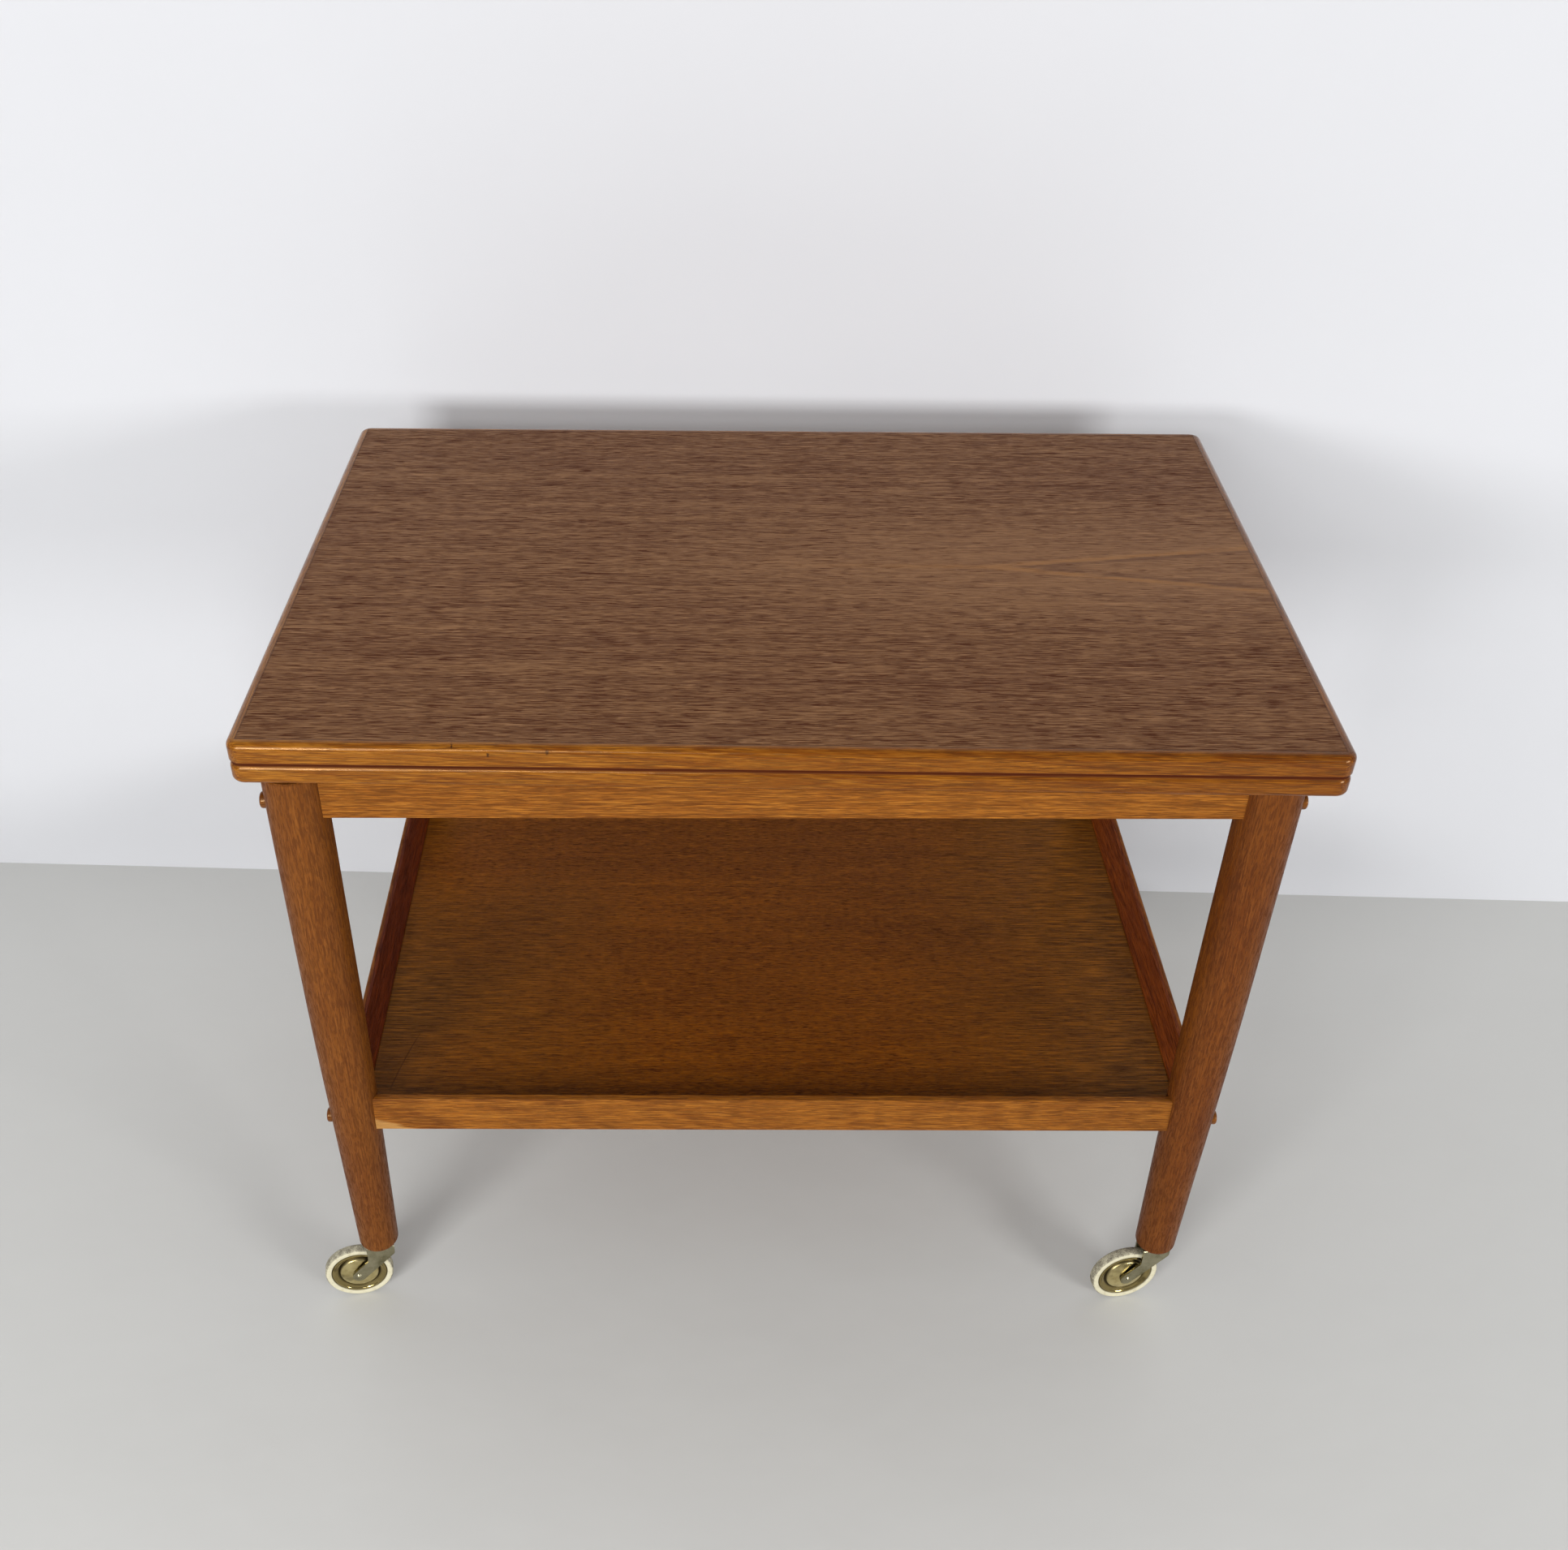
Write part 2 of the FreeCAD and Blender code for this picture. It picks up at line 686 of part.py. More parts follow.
def caster_fork():
    # A stamped fork: the side outline is cut from a bent channel. The arms rake down to the
    # axle and end round; the neck fills the width under the leg.
    rake = math.radians(fork_arm_rake)
    across = V(math.sin(rake), 0, math.cos(rake))
    down = V(math.cos(rake), 0, -math.sin(rake))
    axle = V(caster_trail, 0, wheel_radius)
    rear_end = axle - across * fork_arm_radius
    front_end = axle + across * fork_arm_radius
    round_end = axle + down * fork_arm_radius
    slope = math.tan(rake)
    rear_neck = V(-fork_neck, 0, rear_end.z + (rear_end.x + fork_neck) * slope)
    front_neck = V(fork_neck, 0, front_end.z + (front_end.x - fork_neck) * slope)
    wire = outline(
        V(-fork_neck, 0, crown_top), rear_neck, rear_end, (round_end, front_end), front_neck,
        V(fork_neck, 0, crown_top))
    side = moved(extruded(wire, V(0, 2 * fork_outside, 0)), V(0, -fork_outside, 0))

    def is_neck_corner(edge):
        point = edge.Vertexes[0].Point
        at_neck = min(abs(point.z - rear_neck.z), abs(point.z - front_neck.z)) < 1e-6
        return at_neck and edge.BoundBox.YLength > fork_outside
    side = rounded_edges(side, fork_corner, is_neck_corner)
    low = wheel_radius - fork_arm_radius - 1
    reach = caster_trail + 2 * fork_neck

    def is_bend(edge):
        return edge.BoundBox.XLength > reach and edge.BoundBox.ZMin > low + 1
    shell = box((-reach, -fork_outside, low), (reach, fork_outside, crown_top))
    shell = rounded_edges(shell, fork_bend, is_bend)
    hollow = box((-reach, -fork_inside, low), (reach, fork_inside, crown_bottom))
    hollow = rounded_edges(hollow, fork_bend - fork_sheet, is_bend)
    fork = side.common(shell).cut(hollow)
    across_y = V(0, 2 * fork_outside, 0)
    fork = fork.cut(rod(axle_radius + running_clearance, axle - across_y, axle + across_y))
    return fork.cut(rod(stem_neck_radius + running_clearance, V(0, 0, crown_bottom - 1),
                        V(0, 0, crown_top + 1)))


def caster_stem():
    # Riveted through the crown of the fork, turning in the socket.
    top = leg_foot + stem_length
    return turned_points([
        (0, crown_bottom - stem_head_height), (stem_head_radius, crown_bottom - stem_head_height),
        (stem_head_radius, crown_bottom), (stem_neck_radius, crown_bottom),
        (stem_neck_radius, crown_top), (stem_radius, crown_top), (stem_radius, top - stem_chamfer),
        (stem_radius - stem_chamfer, top), (0, top)])


def caster_socket():
    bottom = leg_foot - socket_flange
    top = leg_foot + stem_length + socket_end_gap
    bore = stem_radius + running_clearance
    return turned_points([
        (bore, bottom), (socket_flange_radius, bottom), (socket_flange_radius, leg_foot),
        (socket_radius, leg_foot), (socket_radius, top), (bore, top)])


def caster_axle():
    half = fork_outside
    tip = half + axle_head_height
    inner = axle_head_radius / 2
    return along_y(turned_points([
        (0, -tip), (inner, -tip), (axle_head_radius, -half), (axle_radius, -half),
        (axle_radius, half), (axle_head_radius, half), (inner, tip), (0, tip)]))


def wheel_disc():
    # A dished brass disc: raised hub, sloping face, a step and a raised rim.
    bore = axle_radius + running_clearance
    hub = hub_width / 2
    rim = disc_rim_width / 2
    crease = rim - disc_step_height
    side = [(hub_radius, hub), (disc_step_radius - disc_step_height, rim),
            (disc_step_radius, crease), (wheel_disc_radius - disc_step_height, rim),
            (wheel_disc_radius, rim)]
    mirrored = [(radius, -height) for radius, height in reversed(side)]
    return along_y(turned_points([(bore, hub)] + side + mirrored + [(bore, -hub)]))


def wheel_tyre():
    seat = wheel_disc_radius + running_clearance
    edge = tyre_seat_width / 2
    wall = tyre_width / 2
    tread = tyre_tread_width / 2
    shoulder = wheel_radius - tyre_shoulder
    return along_y(turned_points([
        (seat, edge), (shoulder, wall), (wheel_radius, tread), (wheel_radius, -tread),
        (shoulder, -wall), (seat, -edge)]))


def build_casters():
    for corner in corners:
        pieces = {
            "_socket": caster_socket(),
            "_fork": caster_fork(),
            "_stem": caster_stem(),
            "_axle": wheel_level(caster_axle()),
            "_wheel": wheel_level(wheel_disc()),
            "_tyre": wheel_level(wheel_tyre()),
        }
        for ending, shape in pieces.items():
            save(corner + ending, moved(spun(shape, caster_angles[corner]), leg_axis(corner)))


os.makedirs("parts", exist_ok=True)
build_legs()
build_pegs("apron_pegs", apron_peg_level)
build_pegs("shelf_pegs", shelf_peg_level)
build_rails("_apron", apron_section(), apron_peg_level, apron_middle,
            apron_height - 2 * tenon_shoulder, [board_blank(mortise_clearance)])
build_rails("_shelf_rail", rail_section(), shelf_peg_level, rail_middle,
            rail_height - 2 * tenon_shoulder, [])
build_shelf_panel()
build_felt_pads()
build_pivot_in_frame()
build_pivot_on_leaf()
build_leaves()
build_hinges()
build_casters()
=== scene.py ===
import json
import math
import bpy
import bmesh
from mathutils import Matrix, Vector

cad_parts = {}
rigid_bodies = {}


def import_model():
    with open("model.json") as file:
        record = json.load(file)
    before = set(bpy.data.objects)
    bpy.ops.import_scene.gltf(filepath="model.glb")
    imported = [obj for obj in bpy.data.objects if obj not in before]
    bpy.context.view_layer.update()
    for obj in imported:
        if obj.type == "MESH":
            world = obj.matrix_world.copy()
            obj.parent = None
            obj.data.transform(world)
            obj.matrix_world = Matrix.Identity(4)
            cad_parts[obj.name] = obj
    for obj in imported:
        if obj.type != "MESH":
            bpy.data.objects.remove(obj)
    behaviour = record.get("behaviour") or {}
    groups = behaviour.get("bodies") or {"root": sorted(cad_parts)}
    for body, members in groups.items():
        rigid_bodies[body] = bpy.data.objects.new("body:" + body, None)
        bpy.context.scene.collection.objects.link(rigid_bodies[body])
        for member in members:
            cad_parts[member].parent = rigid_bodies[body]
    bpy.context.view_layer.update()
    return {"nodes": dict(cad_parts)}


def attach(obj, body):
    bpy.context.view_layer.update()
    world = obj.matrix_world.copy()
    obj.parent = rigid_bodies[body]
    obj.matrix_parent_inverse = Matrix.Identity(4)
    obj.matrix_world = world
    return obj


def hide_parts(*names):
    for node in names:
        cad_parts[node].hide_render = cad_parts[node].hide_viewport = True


for thing in list(bpy.data.objects):
    bpy.data.objects.remove(thing)
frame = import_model()
nodes = frame["nodes"]
# the signs of outward along X and Y at each corner
corners = {"front_left": (-1, -1), "front_right": (1, -1),
           "rear_left": (-1, 1), "rear_right": (1, 1)}
print("frame loaded,", len(nodes), "pieces")


class Wire:
    # An output socket. Sums and products of wires add Math nodes.
    def __init__(self, finish, socket):
        self.finish = finish
        self.socket = socket

    def reckon(self, operation, first, second=0.0):
        return self.finish.node("ShaderNodeMath", {"operation": operation}, {0: first, 1: second})

    def __add__(self, other):
        return self.reckon("ADD", self, other)

    def __radd__(self, other):
        return self.reckon("ADD", other, self)

    def __sub__(self, other):
        return self.reckon("SUBTRACT", self, other)

    def __rsub__(self, other):
        return self.reckon("SUBTRACT", other, self)

    def __mul__(self, other):
        return self.reckon("MULTIPLY", self, other)

    def __rmul__(self, other):
        return self.reckon("MULTIPLY", other, self)

    def __truediv__(self, other):
        return self.reckon("DIVIDE", self, other)

    def __pow__(self, other):
        return self.reckon("POWER", self, other)

    def __abs__(self):
        return self.reckon("ABSOLUTE", self)

    def above(self, level):
        return self.reckon("GREATER_THAN", self, level)

    def largest(self, other):
        return self.reckon("MAXIMUM", self, other)

    def between(self, low, high):
        # 0 at low and 1 at high, clamped; the other way round if low is the larger
        return self.finish.node("ShaderNodeMapRange", {"clamp": True}, {
            "Value": self, "From Min": low, "From Max": high, "To Min": 0.0, "To Max": 1.0})


class Finish:
    # A new material, or the world, while its nodes are being put together.
    def __init__(self, owner):
        if isinstance(owner, str):
            owner = bpy.data.materials.new(owner)
        self.owner = owner
        owner.use_nodes = True
        self.tree = owner.node_tree
        self.tree.nodes.clear()

    def node(self, kind, settings, sockets, output=0):
        made = self.tree.nodes.new(kind)
        for name, value in settings.items():
            setattr(made, name, value)
        for name, value in sockets.items():
            if isinstance(value, Wire):
                self.tree.links.new(value.socket, made.inputs[name])
            else:
                made.inputs[name].default_value = value
        if len(made.outputs):
            return Wire(self, made.outputs[output])

    def coords(self, turn=0.0, shift=(0.0, 0.0, 0.0)):
        # the piece's own coordinates in metres, turned about Z by some degrees and shifted
        place = self.node("ShaderNodeTexCoord", {}, {}, "Object")
        if turn:
            place = self.node("ShaderNodeMapping", {}, {
                "Vector": place, "Rotation": (0.0, 0.0, math.radians(turn)), "Location": shift})
        return place

    def split(self, vector):
        cut = self.node("ShaderNodeSeparateXYZ", {}, {"Vector": vector})
        outputs = cut.socket.node.outputs
        return [Wire(self, outputs[k]) for k in range(3)]

    def join(self, x, y, z):
        return self.node("ShaderNodeCombineXYZ", {}, {0: x, 1: y, 2: z})

    def stretched(self, vector, sizes, shift=0.0):
        return self.node("ShaderNodeVectorMath", {"operation": "MULTIPLY_ADD"}, {
            0: vector, 1: sizes, 2: (shift, shift, shift)})

    def noise(self, vector, scale=1.0, detail=2.0, roughness=0.5):
        return self.node("ShaderNodeTexNoise", {}, {
            "Vector": vector, "Scale": scale, "Detail": detail, "Roughness": roughness})

    def mix(self, share, first, second, blend="MIX"):
        return self.node("ShaderNodeMix", {"data_type": "RGBA", "blend_type": blend},
                         {0: share, 6: first, 7: second}, 2)

    def close(self, colour, roughness, height, depth, **more):
        # Height is a share of depth, which is in metres.
        bump = self.node("ShaderNodeBump", {}, {
            "Strength": 1.0, "Distance": depth, "Height": height})
        sockets = {"Base Color": colour, "Roughness": roughness, "Specular IOR Level": 0.12,
                   "Normal": bump}
        sockets.update(more)
        surface = self.node("ShaderNodeBsdfPrincipled", {}, sockets)
        self.node("ShaderNodeOutputMaterial", {}, {"Surface": surface})
        return self.owner


def tone(red, green, blue):
    # a colour given as 0 to 255, turned to linear light
    return tuple(((v / 255 + 0.055) / 1.055) ** 2.4 if v > 10 else v / 255 / 12.92
                 for v in (red, green, blue)) + (1.0,)


def gloss(level, red, green, blue):
    # the reflecting layer of a waxed surface and its tint
    return {"Specular IOR Level": level, "Specular Tint": tone(red, green, blue)}


def dress(material, *names):
    for name in names:
        for slot in nodes[name].material_slots:
            slot.material = material


sharpFrom = 38.0  # degrees: an edge that turns by more stays sharp


def shellMesh(name, points, faces, *more):
    # a mesh with its normals outwards, with the meshes in more added to it
    mesh = bpy.data.meshes.new(name)
    mesh.from_pydata(points, [], faces)
    shell = bmesh.new()
    for part in (mesh,) + more:
        shell.from_mesh(part)
    bmesh.ops.recalc_face_normals(shell, faces=shell.faces)
    shell.to_mesh(mesh)
    shell.free()
    for face in mesh.polygons:
        face.use_smooth = True
    mesh.set_sharp_from_angle(angle=math.radians(sharpFrom))
    return mesh


def makePiece(name, mesh, material, body, replaced):
    mesh.materials.clear()
    mesh.materials.append(material)
    piece = bpy.data.objects.new(name, mesh)
    bpy.context.collection.objects.link(piece)
    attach(piece, body)
    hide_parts(replaced)


def turnedShell(profile, axis, count):
    # A closed profile of (radius, height) whose first and last points lie on the axis.
    points = []
    faces = []
    inner = profile[1:-1]
    for k in range(count):
        angle = 2 * math.pi * k / count
        c, s = math.cos(angle), math.sin(angle)
        points += [(axis[0] + radius * c, axis[1] + radius * s, height) for radius, height in inner]
    low = len(points)
    points.append((axis[0], axis[1], profile[0][1]))
    points.append((axis[0], axis[1], profile[-1][1]))
    size = len(inner)
    for k in range(count):
        here = k * size
        there = (k + 1) % count * size
        for j in range(size - 1):
            faces.append((here + j, there + j, there + j + 1, here + j + 1))
        faces.append((low, there, here))
        faces.append((low + 1, here + size - 1, there + size - 1))
    return points, faces


def tube(sections):
    # A shell through closed sections of equal length, with flat ends.
    points = [point for section in sections for point in section]
    size = len(sections[0])
    faces = [tuple(range(size)), tuple(range(len(points) - size, len(points)))]
    for k in range(len(sections) - 1):
        here = k * size
        there = here + size
        for j in range(size):
            after = (j + 1) % size
            faces.append((here + j, here + after, there + after, there + j))
    return points, faces


def joined(shells):
    points = []
    faces = []
    for shellPoints, shellFaces in shells:
        start = len(points)
        points += shellPoints
        faces += [tuple(v + start for v in face) for face in shellFaces]
    return points, faces


# Oiled teak, which the finishes of the single boards vary. A size is given as waves per metre
# along, across and through the board, and a range as the noise levels where a mark starts and
# where it is full.
plainTeak = {
    "seed": 0.0, "light": tone(137, 94, 55), "dark": tone(112, 71, 38), "stain": tone(104, 61, 32),
    "fleck": tone(160, 116, 76), "pore": tone(80, 38, 8),
    # growth rings: where their middle lies, how the board runs out of it and how they wave
    "pith": (0.0, -0.10), "runOut": (0.0, 0.0), "waves": (1.8, 4.0, 4.0), "waveDepth": 0.010,
    "sway": 0.008, "bands": 55.0, "bandsAlong": 0.7, "lines": 230.0, "linesAlong": 3.0,
    "streaks": (14.0, 380.0, 380.0), "fibres": (34.0, 1000.0, 1000.0),
    "pores": (64.0, 1500.0, 1500.0), "dashes": (44.0, 940.0, 940.0), "stains": (5.0, 11.0, 11.0),
    "bandRange": (0.38, 0.64), "lineRange": (0.38, 0.66), "streakRange": (0.40, 0.62),
    "stainRange": (0.46, 0.70), "fleckRange": (0.48, 0.66), "calmRange": (0.52, 0.66),
    "bandShare": 0.4, "lineShare": 0.45, "streakShare": 0.4, "stainShare": 0.3, "fleckShare": 0.85,
    "calmShare": 0.5, "poreShare": 0.95, "faintPores": 0.8,
    # pores crowd in dark bands, lines and streaks, and thin out where it is calm
    "poreLevel": 0.545, "poreEdge": 0.05, "dashRise": 0.01, "crowd": (0.12, 0.08, 0.07, 0.10),
    "roughness": 0.42, "fibreRoughness": 0.12, "poreRoughness": 0.25, "fibreHeight": 0.3}


def teak(finish, grain, wood, ring=None, calm=0.0):
    # Colour, roughness and height of oiled teak. The vector grain runs along the board, across it
    # and through it, ring is the distance from the pith, and calm is 1 where the pores thin out
    # and the lines go pale.
    seed = wood["seed"]
    bend = finish.noise(finish.stretched(grain, wood["waves"], seed)) - 0.5
    along, across, depth = finish.split(grain)
    if ring is None:
        side = across - wood["pith"][0] + along * wood["runOut"][0]
        below = depth - wood["pith"][1] + along * wood["runOut"][1]
        ring = (side * side + below * below) ** 0.5
    ring = ring + bend * wood["waveDepth"]
    sway = bend * wood["sway"]
    grain = finish.join(along, across + sway, depth + sway)
    bands = finish.noise(finish.join(along * wood["bandsAlong"], ring * wood["bands"], seed))
    lines = finish.noise(finish.join(along * wood["linesAlong"], ring * wood["lines"], seed),
                         detail=3.0, roughness=0.65)
    streaks = finish.noise(finish.stretched(grain, wood["streaks"], seed))
    fibres = finish.noise(finish.stretched(grain, wood["fibres"], seed), roughness=0.6)
    pores = finish.noise(finish.stretched(grain, wood["pores"], seed), detail=1.0)
    dashes = finish.noise(finish.stretched(grain, wood["dashes"], seed), detail=1.0)
    stain = finish.noise(finish.stretched(grain, wood["stains"], seed), detail=3.0)
    dark = (bands.between(*wood["bandRange"]) * wood["bandShare"]
            + lines.between(*wood["lineRange"]) * wood["lineShare"]
            + streaks.between(*wood["streakRange"]) * wood["streakShare"])
    colour = finish.mix(dark, wood["light"], wood["dark"])
    stained = stain.between(*wood["stainRange"]) * wood["stainShare"]
    colour = finish.mix(stained, colour, wood["stain"])
    flecked = fibres.between(*wood["fleckRange"]) * wood["fleckShare"]
    colour = finish.mix(flecked, colour, wood["fleck"])
    paled = lines.between(*wood["calmRange"]) * calm * wood["calmShare"]
    colour = finish.mix(paled, colour, wood["fleck"])
    inBands, inLines, inStreaks, inCalm = wood["crowd"]
    crowd = (bands - 0.5) * inBands + (lines - 0.5) * inLines + (streaks - 0.5) * inStreaks
    crowd = crowd - calm * inCalm
    low, edge = wood["poreLevel"], wood["poreEdge"]
    pore = (pores + crowd).between(low, low + edge) * wood["faintPores"]
    low = low + wood["dashRise"]
    pore = pore.largest((dashes + crowd).between(low, low + edge))
    colour = finish.mix(pore * wood["poreShare"], colour, wood["pore"])
    roughness = (wood["roughness"] + (fibres - 0.5) * wood["fibreRoughness"]
                 + pore * wood["poreRoughness"])
    return colour, roughness, fibres * wood["fibreHeight"] - pore


# The folding top: two leaves, each a veneered panel in an edging of four mitred strips.
top = {
    # where the closed top stands: turned by some degrees about its pivot
    "turn": 1.13, "pivot": (-0.126825, 0.135025), "shift": (0.002638, 0.002527, 0.0),
    "left": -0.3668, "right": 0.3832, "front": -0.2524, "back": 0.2616,
    "levels": {"lower": (0.5676, 0.5836), "upper": (0.584, 0.600)},
    "edging": 0.007, "corner": 0.010, "cornerSteps": 12,
    "arris": 0.0055, "underArris": {"lower": 0.004, "upper": 0.0012}, "arrisSteps": 10,
    # pockets for the three hinges in the back edge
    "hinges": (-0.2518, 0.0082, 0.2682), "hingeAxis": (0.26185, 0.5838), "plateHalf": 0.0251,
    "plate": 0.0111, "plateDepth": 0.0025, "platePast": 0.001,
    "barrel": 0.0028, "barrelHalf": 0.0264, "barrelSteps": 24}


def onTop(x, y, z):
    # from the place against the stop to where the closed top stands
    turn = math.radians(top["turn"])
    dx = x - top["pivot"][0]
    dy = y - top["pivot"][1]
    return (top["pivot"][0] + dx * math.cos(turn) + dy * math.sin(turn),
            top["pivot"][1] - dx * math.sin(turn) + dy * math.cos(turn), z)


def pastEdges(x, y):
    # how far a place lies past the ends and past the front and back, negative within them
    overX = abs(x - (top["left"] + top["right"]) / 2) - (top["right"] - top["left"]) / 2
    overY = abs(y - (top["front"] + top["back"]) / 2) - (top["back"] - top["front"]) / 2
    return overX, overY


def seamMark(overX, overY, width):
    # 1 at the joint of veneer and edging; width is where it starts and is full, outwards from it
    begin, full = width
    return overX.largest(overY).between(begin - top["edging"], full - top["edging"])


veneer = {
    "wood": dict(plainTeak, fibres=(42.0, 1300.0, 1300.0), pores=(80.0, 2100.0, 2100.0),
                 dashes=(54.0, 1250.0, 1250.0), poreShare=1.0),
    # the growth lines run straight on the left and spread to a pointed figure on the right
    "apex": (0.172, 0.0055), "spread": 0.165, "spreadReach": 0.15, "lead": 0.08, "blunt": 0.000004,
    "calmAcross": (0.11, 0.03), "calmAlong": (-0.10, 0.16),
    "waver": (30.0, 160.0, 160.0), "waverSeed": 7.0, "waverDepth": 0.006,
    "paleLine": tone(158, 108, 58), "paleShare": 0.68, "palePlace": 0.0016,
    "paleWidth": (0.0042, 0.0008), "paleStart": (-0.17, 0.01), "palePatches": (0.26, 0.50),
    "darkLine": tone(92, 54, 28), "darkShare": 0.6, "darkOuter": (-0.0012, -0.0028),
    "darkInner": (-0.010, -0.004), "darkPatches": (0.66, 0.48),
    # a dark seam where the veneer meets the edging, and knots at (x, y, size)
    "seam": tone(70, 36, 14), "seamWidth": (-0.0012, -0.0003), "seamShare": 0.55,
    "knots": ((-0.2005, -0.2119, 0.0016),), "knotStretch": 0.6, "knotShare": 0.7,
    "markCore": 0.4,  # the full part of a knot or a nick, as a share of its size
    "relief": 0.0001}


def topVeneer():
    finish = Finish("topVeneer")
    grain = finish.coords(top["turn"], top["shift"])
    x, y, z = finish.split(grain)
    start, middle = veneer["apex"]
    side = ((y - middle) * (y - middle) + veneer["blunt"]) ** 0.5
    ahead = (x - start).largest(0.0)
    fan = ((x - start + veneer["lead"]).largest(0.0) * side.between(veneer["spreadReach"], 0.0)
           * veneer["spread"])
    calm = side.between(*veneer["calmAcross"]) * x.between(*veneer["calmAlong"])
    colour, roughness, height = teak(finish, grain, veneer["wood"], side - fan, calm)
    # pale lines along the two arms of the figure, and darker wood between them
    waver = finish.noise(finish.stretched(grain, veneer["waver"], veneer["waverSeed"]))
    arm = side - ahead * veneer["spread"] + (waver - 0.5) * veneer["waverDepth"]
    begin, full = veneer["paleStart"]
    pale = (abs(arm - veneer["palePlace"]).between(*veneer["paleWidth"])
            * x.between(start + begin, start + full) * waver.between(*veneer["palePatches"]))
    colour = finish.mix(pale * veneer["paleShare"], colour, veneer["paleLine"])
    core = (arm.between(*veneer["darkOuter"]) * ahead.above(0.0)
            * arm.between(*veneer["darkInner"]) * waver.between(*veneer["darkPatches"]))
    colour = finish.mix(core * veneer["darkShare"], colour, veneer["darkLine"])
    overX, overY = pastEdges(x, y)
    seam = seamMark(overX, overY, veneer["seamWidth"])
    colour = finish.mix(seam * veneer["seamShare"], colour, veneer["seam"])
    for knotX, knotY, size in veneer["knots"]:
        reach = (((x - knotX) * veneer["knotStretch"]) ** 2.0 + (y - knotY) ** 2.0) ** 0.5
        knot = reach.between(size, size * veneer["markCore"])
        colour = finish.mix(knot * veneer["knotShare"], colour, veneer["wood"]["pore"])
    return finish.close(colour, roughness, height, veneer["relief"])


edging = {
    "wood": dict(plainTeak, seed=31.0, light=tone(149, 91, 20), dark=tone(114, 58, 6),
                 stain=tone(114, 54, 4), fleck=tone(168, 110, 35), pore=tone(58, 22, 2),
                 poreShare=0.55, pith=(0.10, -0.16), runOut=(0.02, 0.10), bands=160.0, lines=620.0,
                 fibres=(34.0, 1500.0, 1500.0), pores=(80.0, 2300.0, 2300.0),
                 dashes=(50.0, 1500.0, 1500.0), bandShare=0.5, lineShare=0.75, streakShare=0.1,
                 roughness=0.15),
    "mitre": (0.00035, 0.0001), "mitreShare": 0.6,
    # darker and redder towards the right
    "redder": tone(216, 200, 170), "redderFrom": (-0.30, 0.36),
    "seamWidth": (0.0009, 0.0002), "seamShare": 0.5, "seamDepth": 0.0004,
    # nicks in the front edge at (x, height, size)
    "nicks": ((-0.1900, 0.5940, 0.0020), (-0.1504, 0.5965, 0.0022), (-0.2141, 0.5990, 0.0013)),
    "nick": tone(52, 20, 4), "nickShare": 0.95, "nickStretch": 1.5, "nickInset": (0.009, 0.006),
    "ragged": 900.0, "raggedDepth": 0.003,
    # painted shade in the groove between the leaves: heights where it starts and is full, from
    # below and from above, on the lower and on the upper leaf
    "grooveShade": tone(70, 12, 1), "grooveShadeShare": 0.92, "grooveRoughness": 0.5,
    "grooveShadeAt": (((0.5812, 0.5820), (0.5833, 0.5828)), ((0.5838, 0.5840), (0.5852, 0.5846))),
    # the polish evens out the roughness of the wood
    "polish": 0.5, "polished": 0.08, "gloss": gloss(0.55, 255, 206, 150), "relief": 0.000004}


def edgingTeak():
    # The strips meet in mitres and each has its grain along its own length.
    finish = Finish("edgingTeak")
    place = finish.coords(top["turn"], top["shift"])
    x, y, z = finish.split(place)
    overX, overY = pastEdges(x, y)
    onSide = (overX - overY).above(0.0)
    along = finish.mix(onSide, place, finish.join(y, x, z))
    colour, roughness, height = teak(finish, along, edging["wood"])
    mitre = abs(overX - overY).between(*edging["mitre"])
    colour = finish.mix(mitre * edging["mitreShare"], colour, edging["wood"]["pore"])
    deeper = finish.mix(1.0, colour, edging["redder"], "MULTIPLY")
    colour = finish.mix(x.between(*edging["redderFrom"]), colour, deeper)
    seam = seamMark(overX, overY, edging["seamWidth"])
    onFace = z.above(top["levels"]["upper"][1] - edging["seamDepth"])
    colour = finish.mix(seam * onFace * edging["seamShare"], colour, veneer["seam"])
    ragged = (finish.noise(place, edging["ragged"]) - 0.5) * edging["raggedDepth"]
    begin, full = edging["nickInset"]
    inFront = y.between(top["front"] + begin, top["front"] + full)
    for nickX, nickZ, size in edging["nicks"]:
        reach = (((x - nickX) * edging["nickStretch"]) ** 2.0 + (z - nickZ) ** 2.0) ** 0.5 + ragged
        nick = reach.between(size, size * veneer["markCore"]) * inFront
        colour = finish.mix(nick * edging["nickShare"], colour, edging["nick"])
    # painted shade: a deep red-brown band on the arrises either side of the groove
    lower, upper = [z.between(*fromBelow) * z.between(*fromAbove)
                    for fromBelow, fromAbove in edging["grooveShadeAt"]]
    grooveShade = lower.largest(upper)
    colour = finish.mix(grooveShade * edging["grooveShadeShare"], colour, edging["grooveShade"])
    roughness = roughness * edging["polish"] + edging["polished"] + grooveShade * edging["grooveRoughness"]
    return finish.close(colour, roughness, height, edging["relief"], **edging["gloss"])


def leafProfile(level, squareLow=False, squareHigh=False):
    # (inset, height) round a strip, with rounded or square outer arrises
    bottom, upper = top["levels"][level]
    count = top["arrisSteps"]
    profile = [(top["edging"], bottom)]
    for edge, arris, square, rise in ((bottom, top["underArris"][level], squareLow, 1),
                                      (upper, top["arris"], squareHigh, -1)):
        steps = []
        for k in range(count + 1):
            share = k / count
            if not square:
                angle = math.pi / 2 * share
                inset, drop = arris * (1 - math.sin(angle)), arris * (1 - math.cos(angle))
            elif share < 0.5:
                inset, drop = arris * (1 - 2 * share), 0.0
            else:
                inset, drop = 0.0, arris * (2 * share - 1)
            steps.append((inset, edge + rise * drop))
        profile += steps if rise > 0 else steps[::-1]
    return profile + [(top["edging"], upper)]


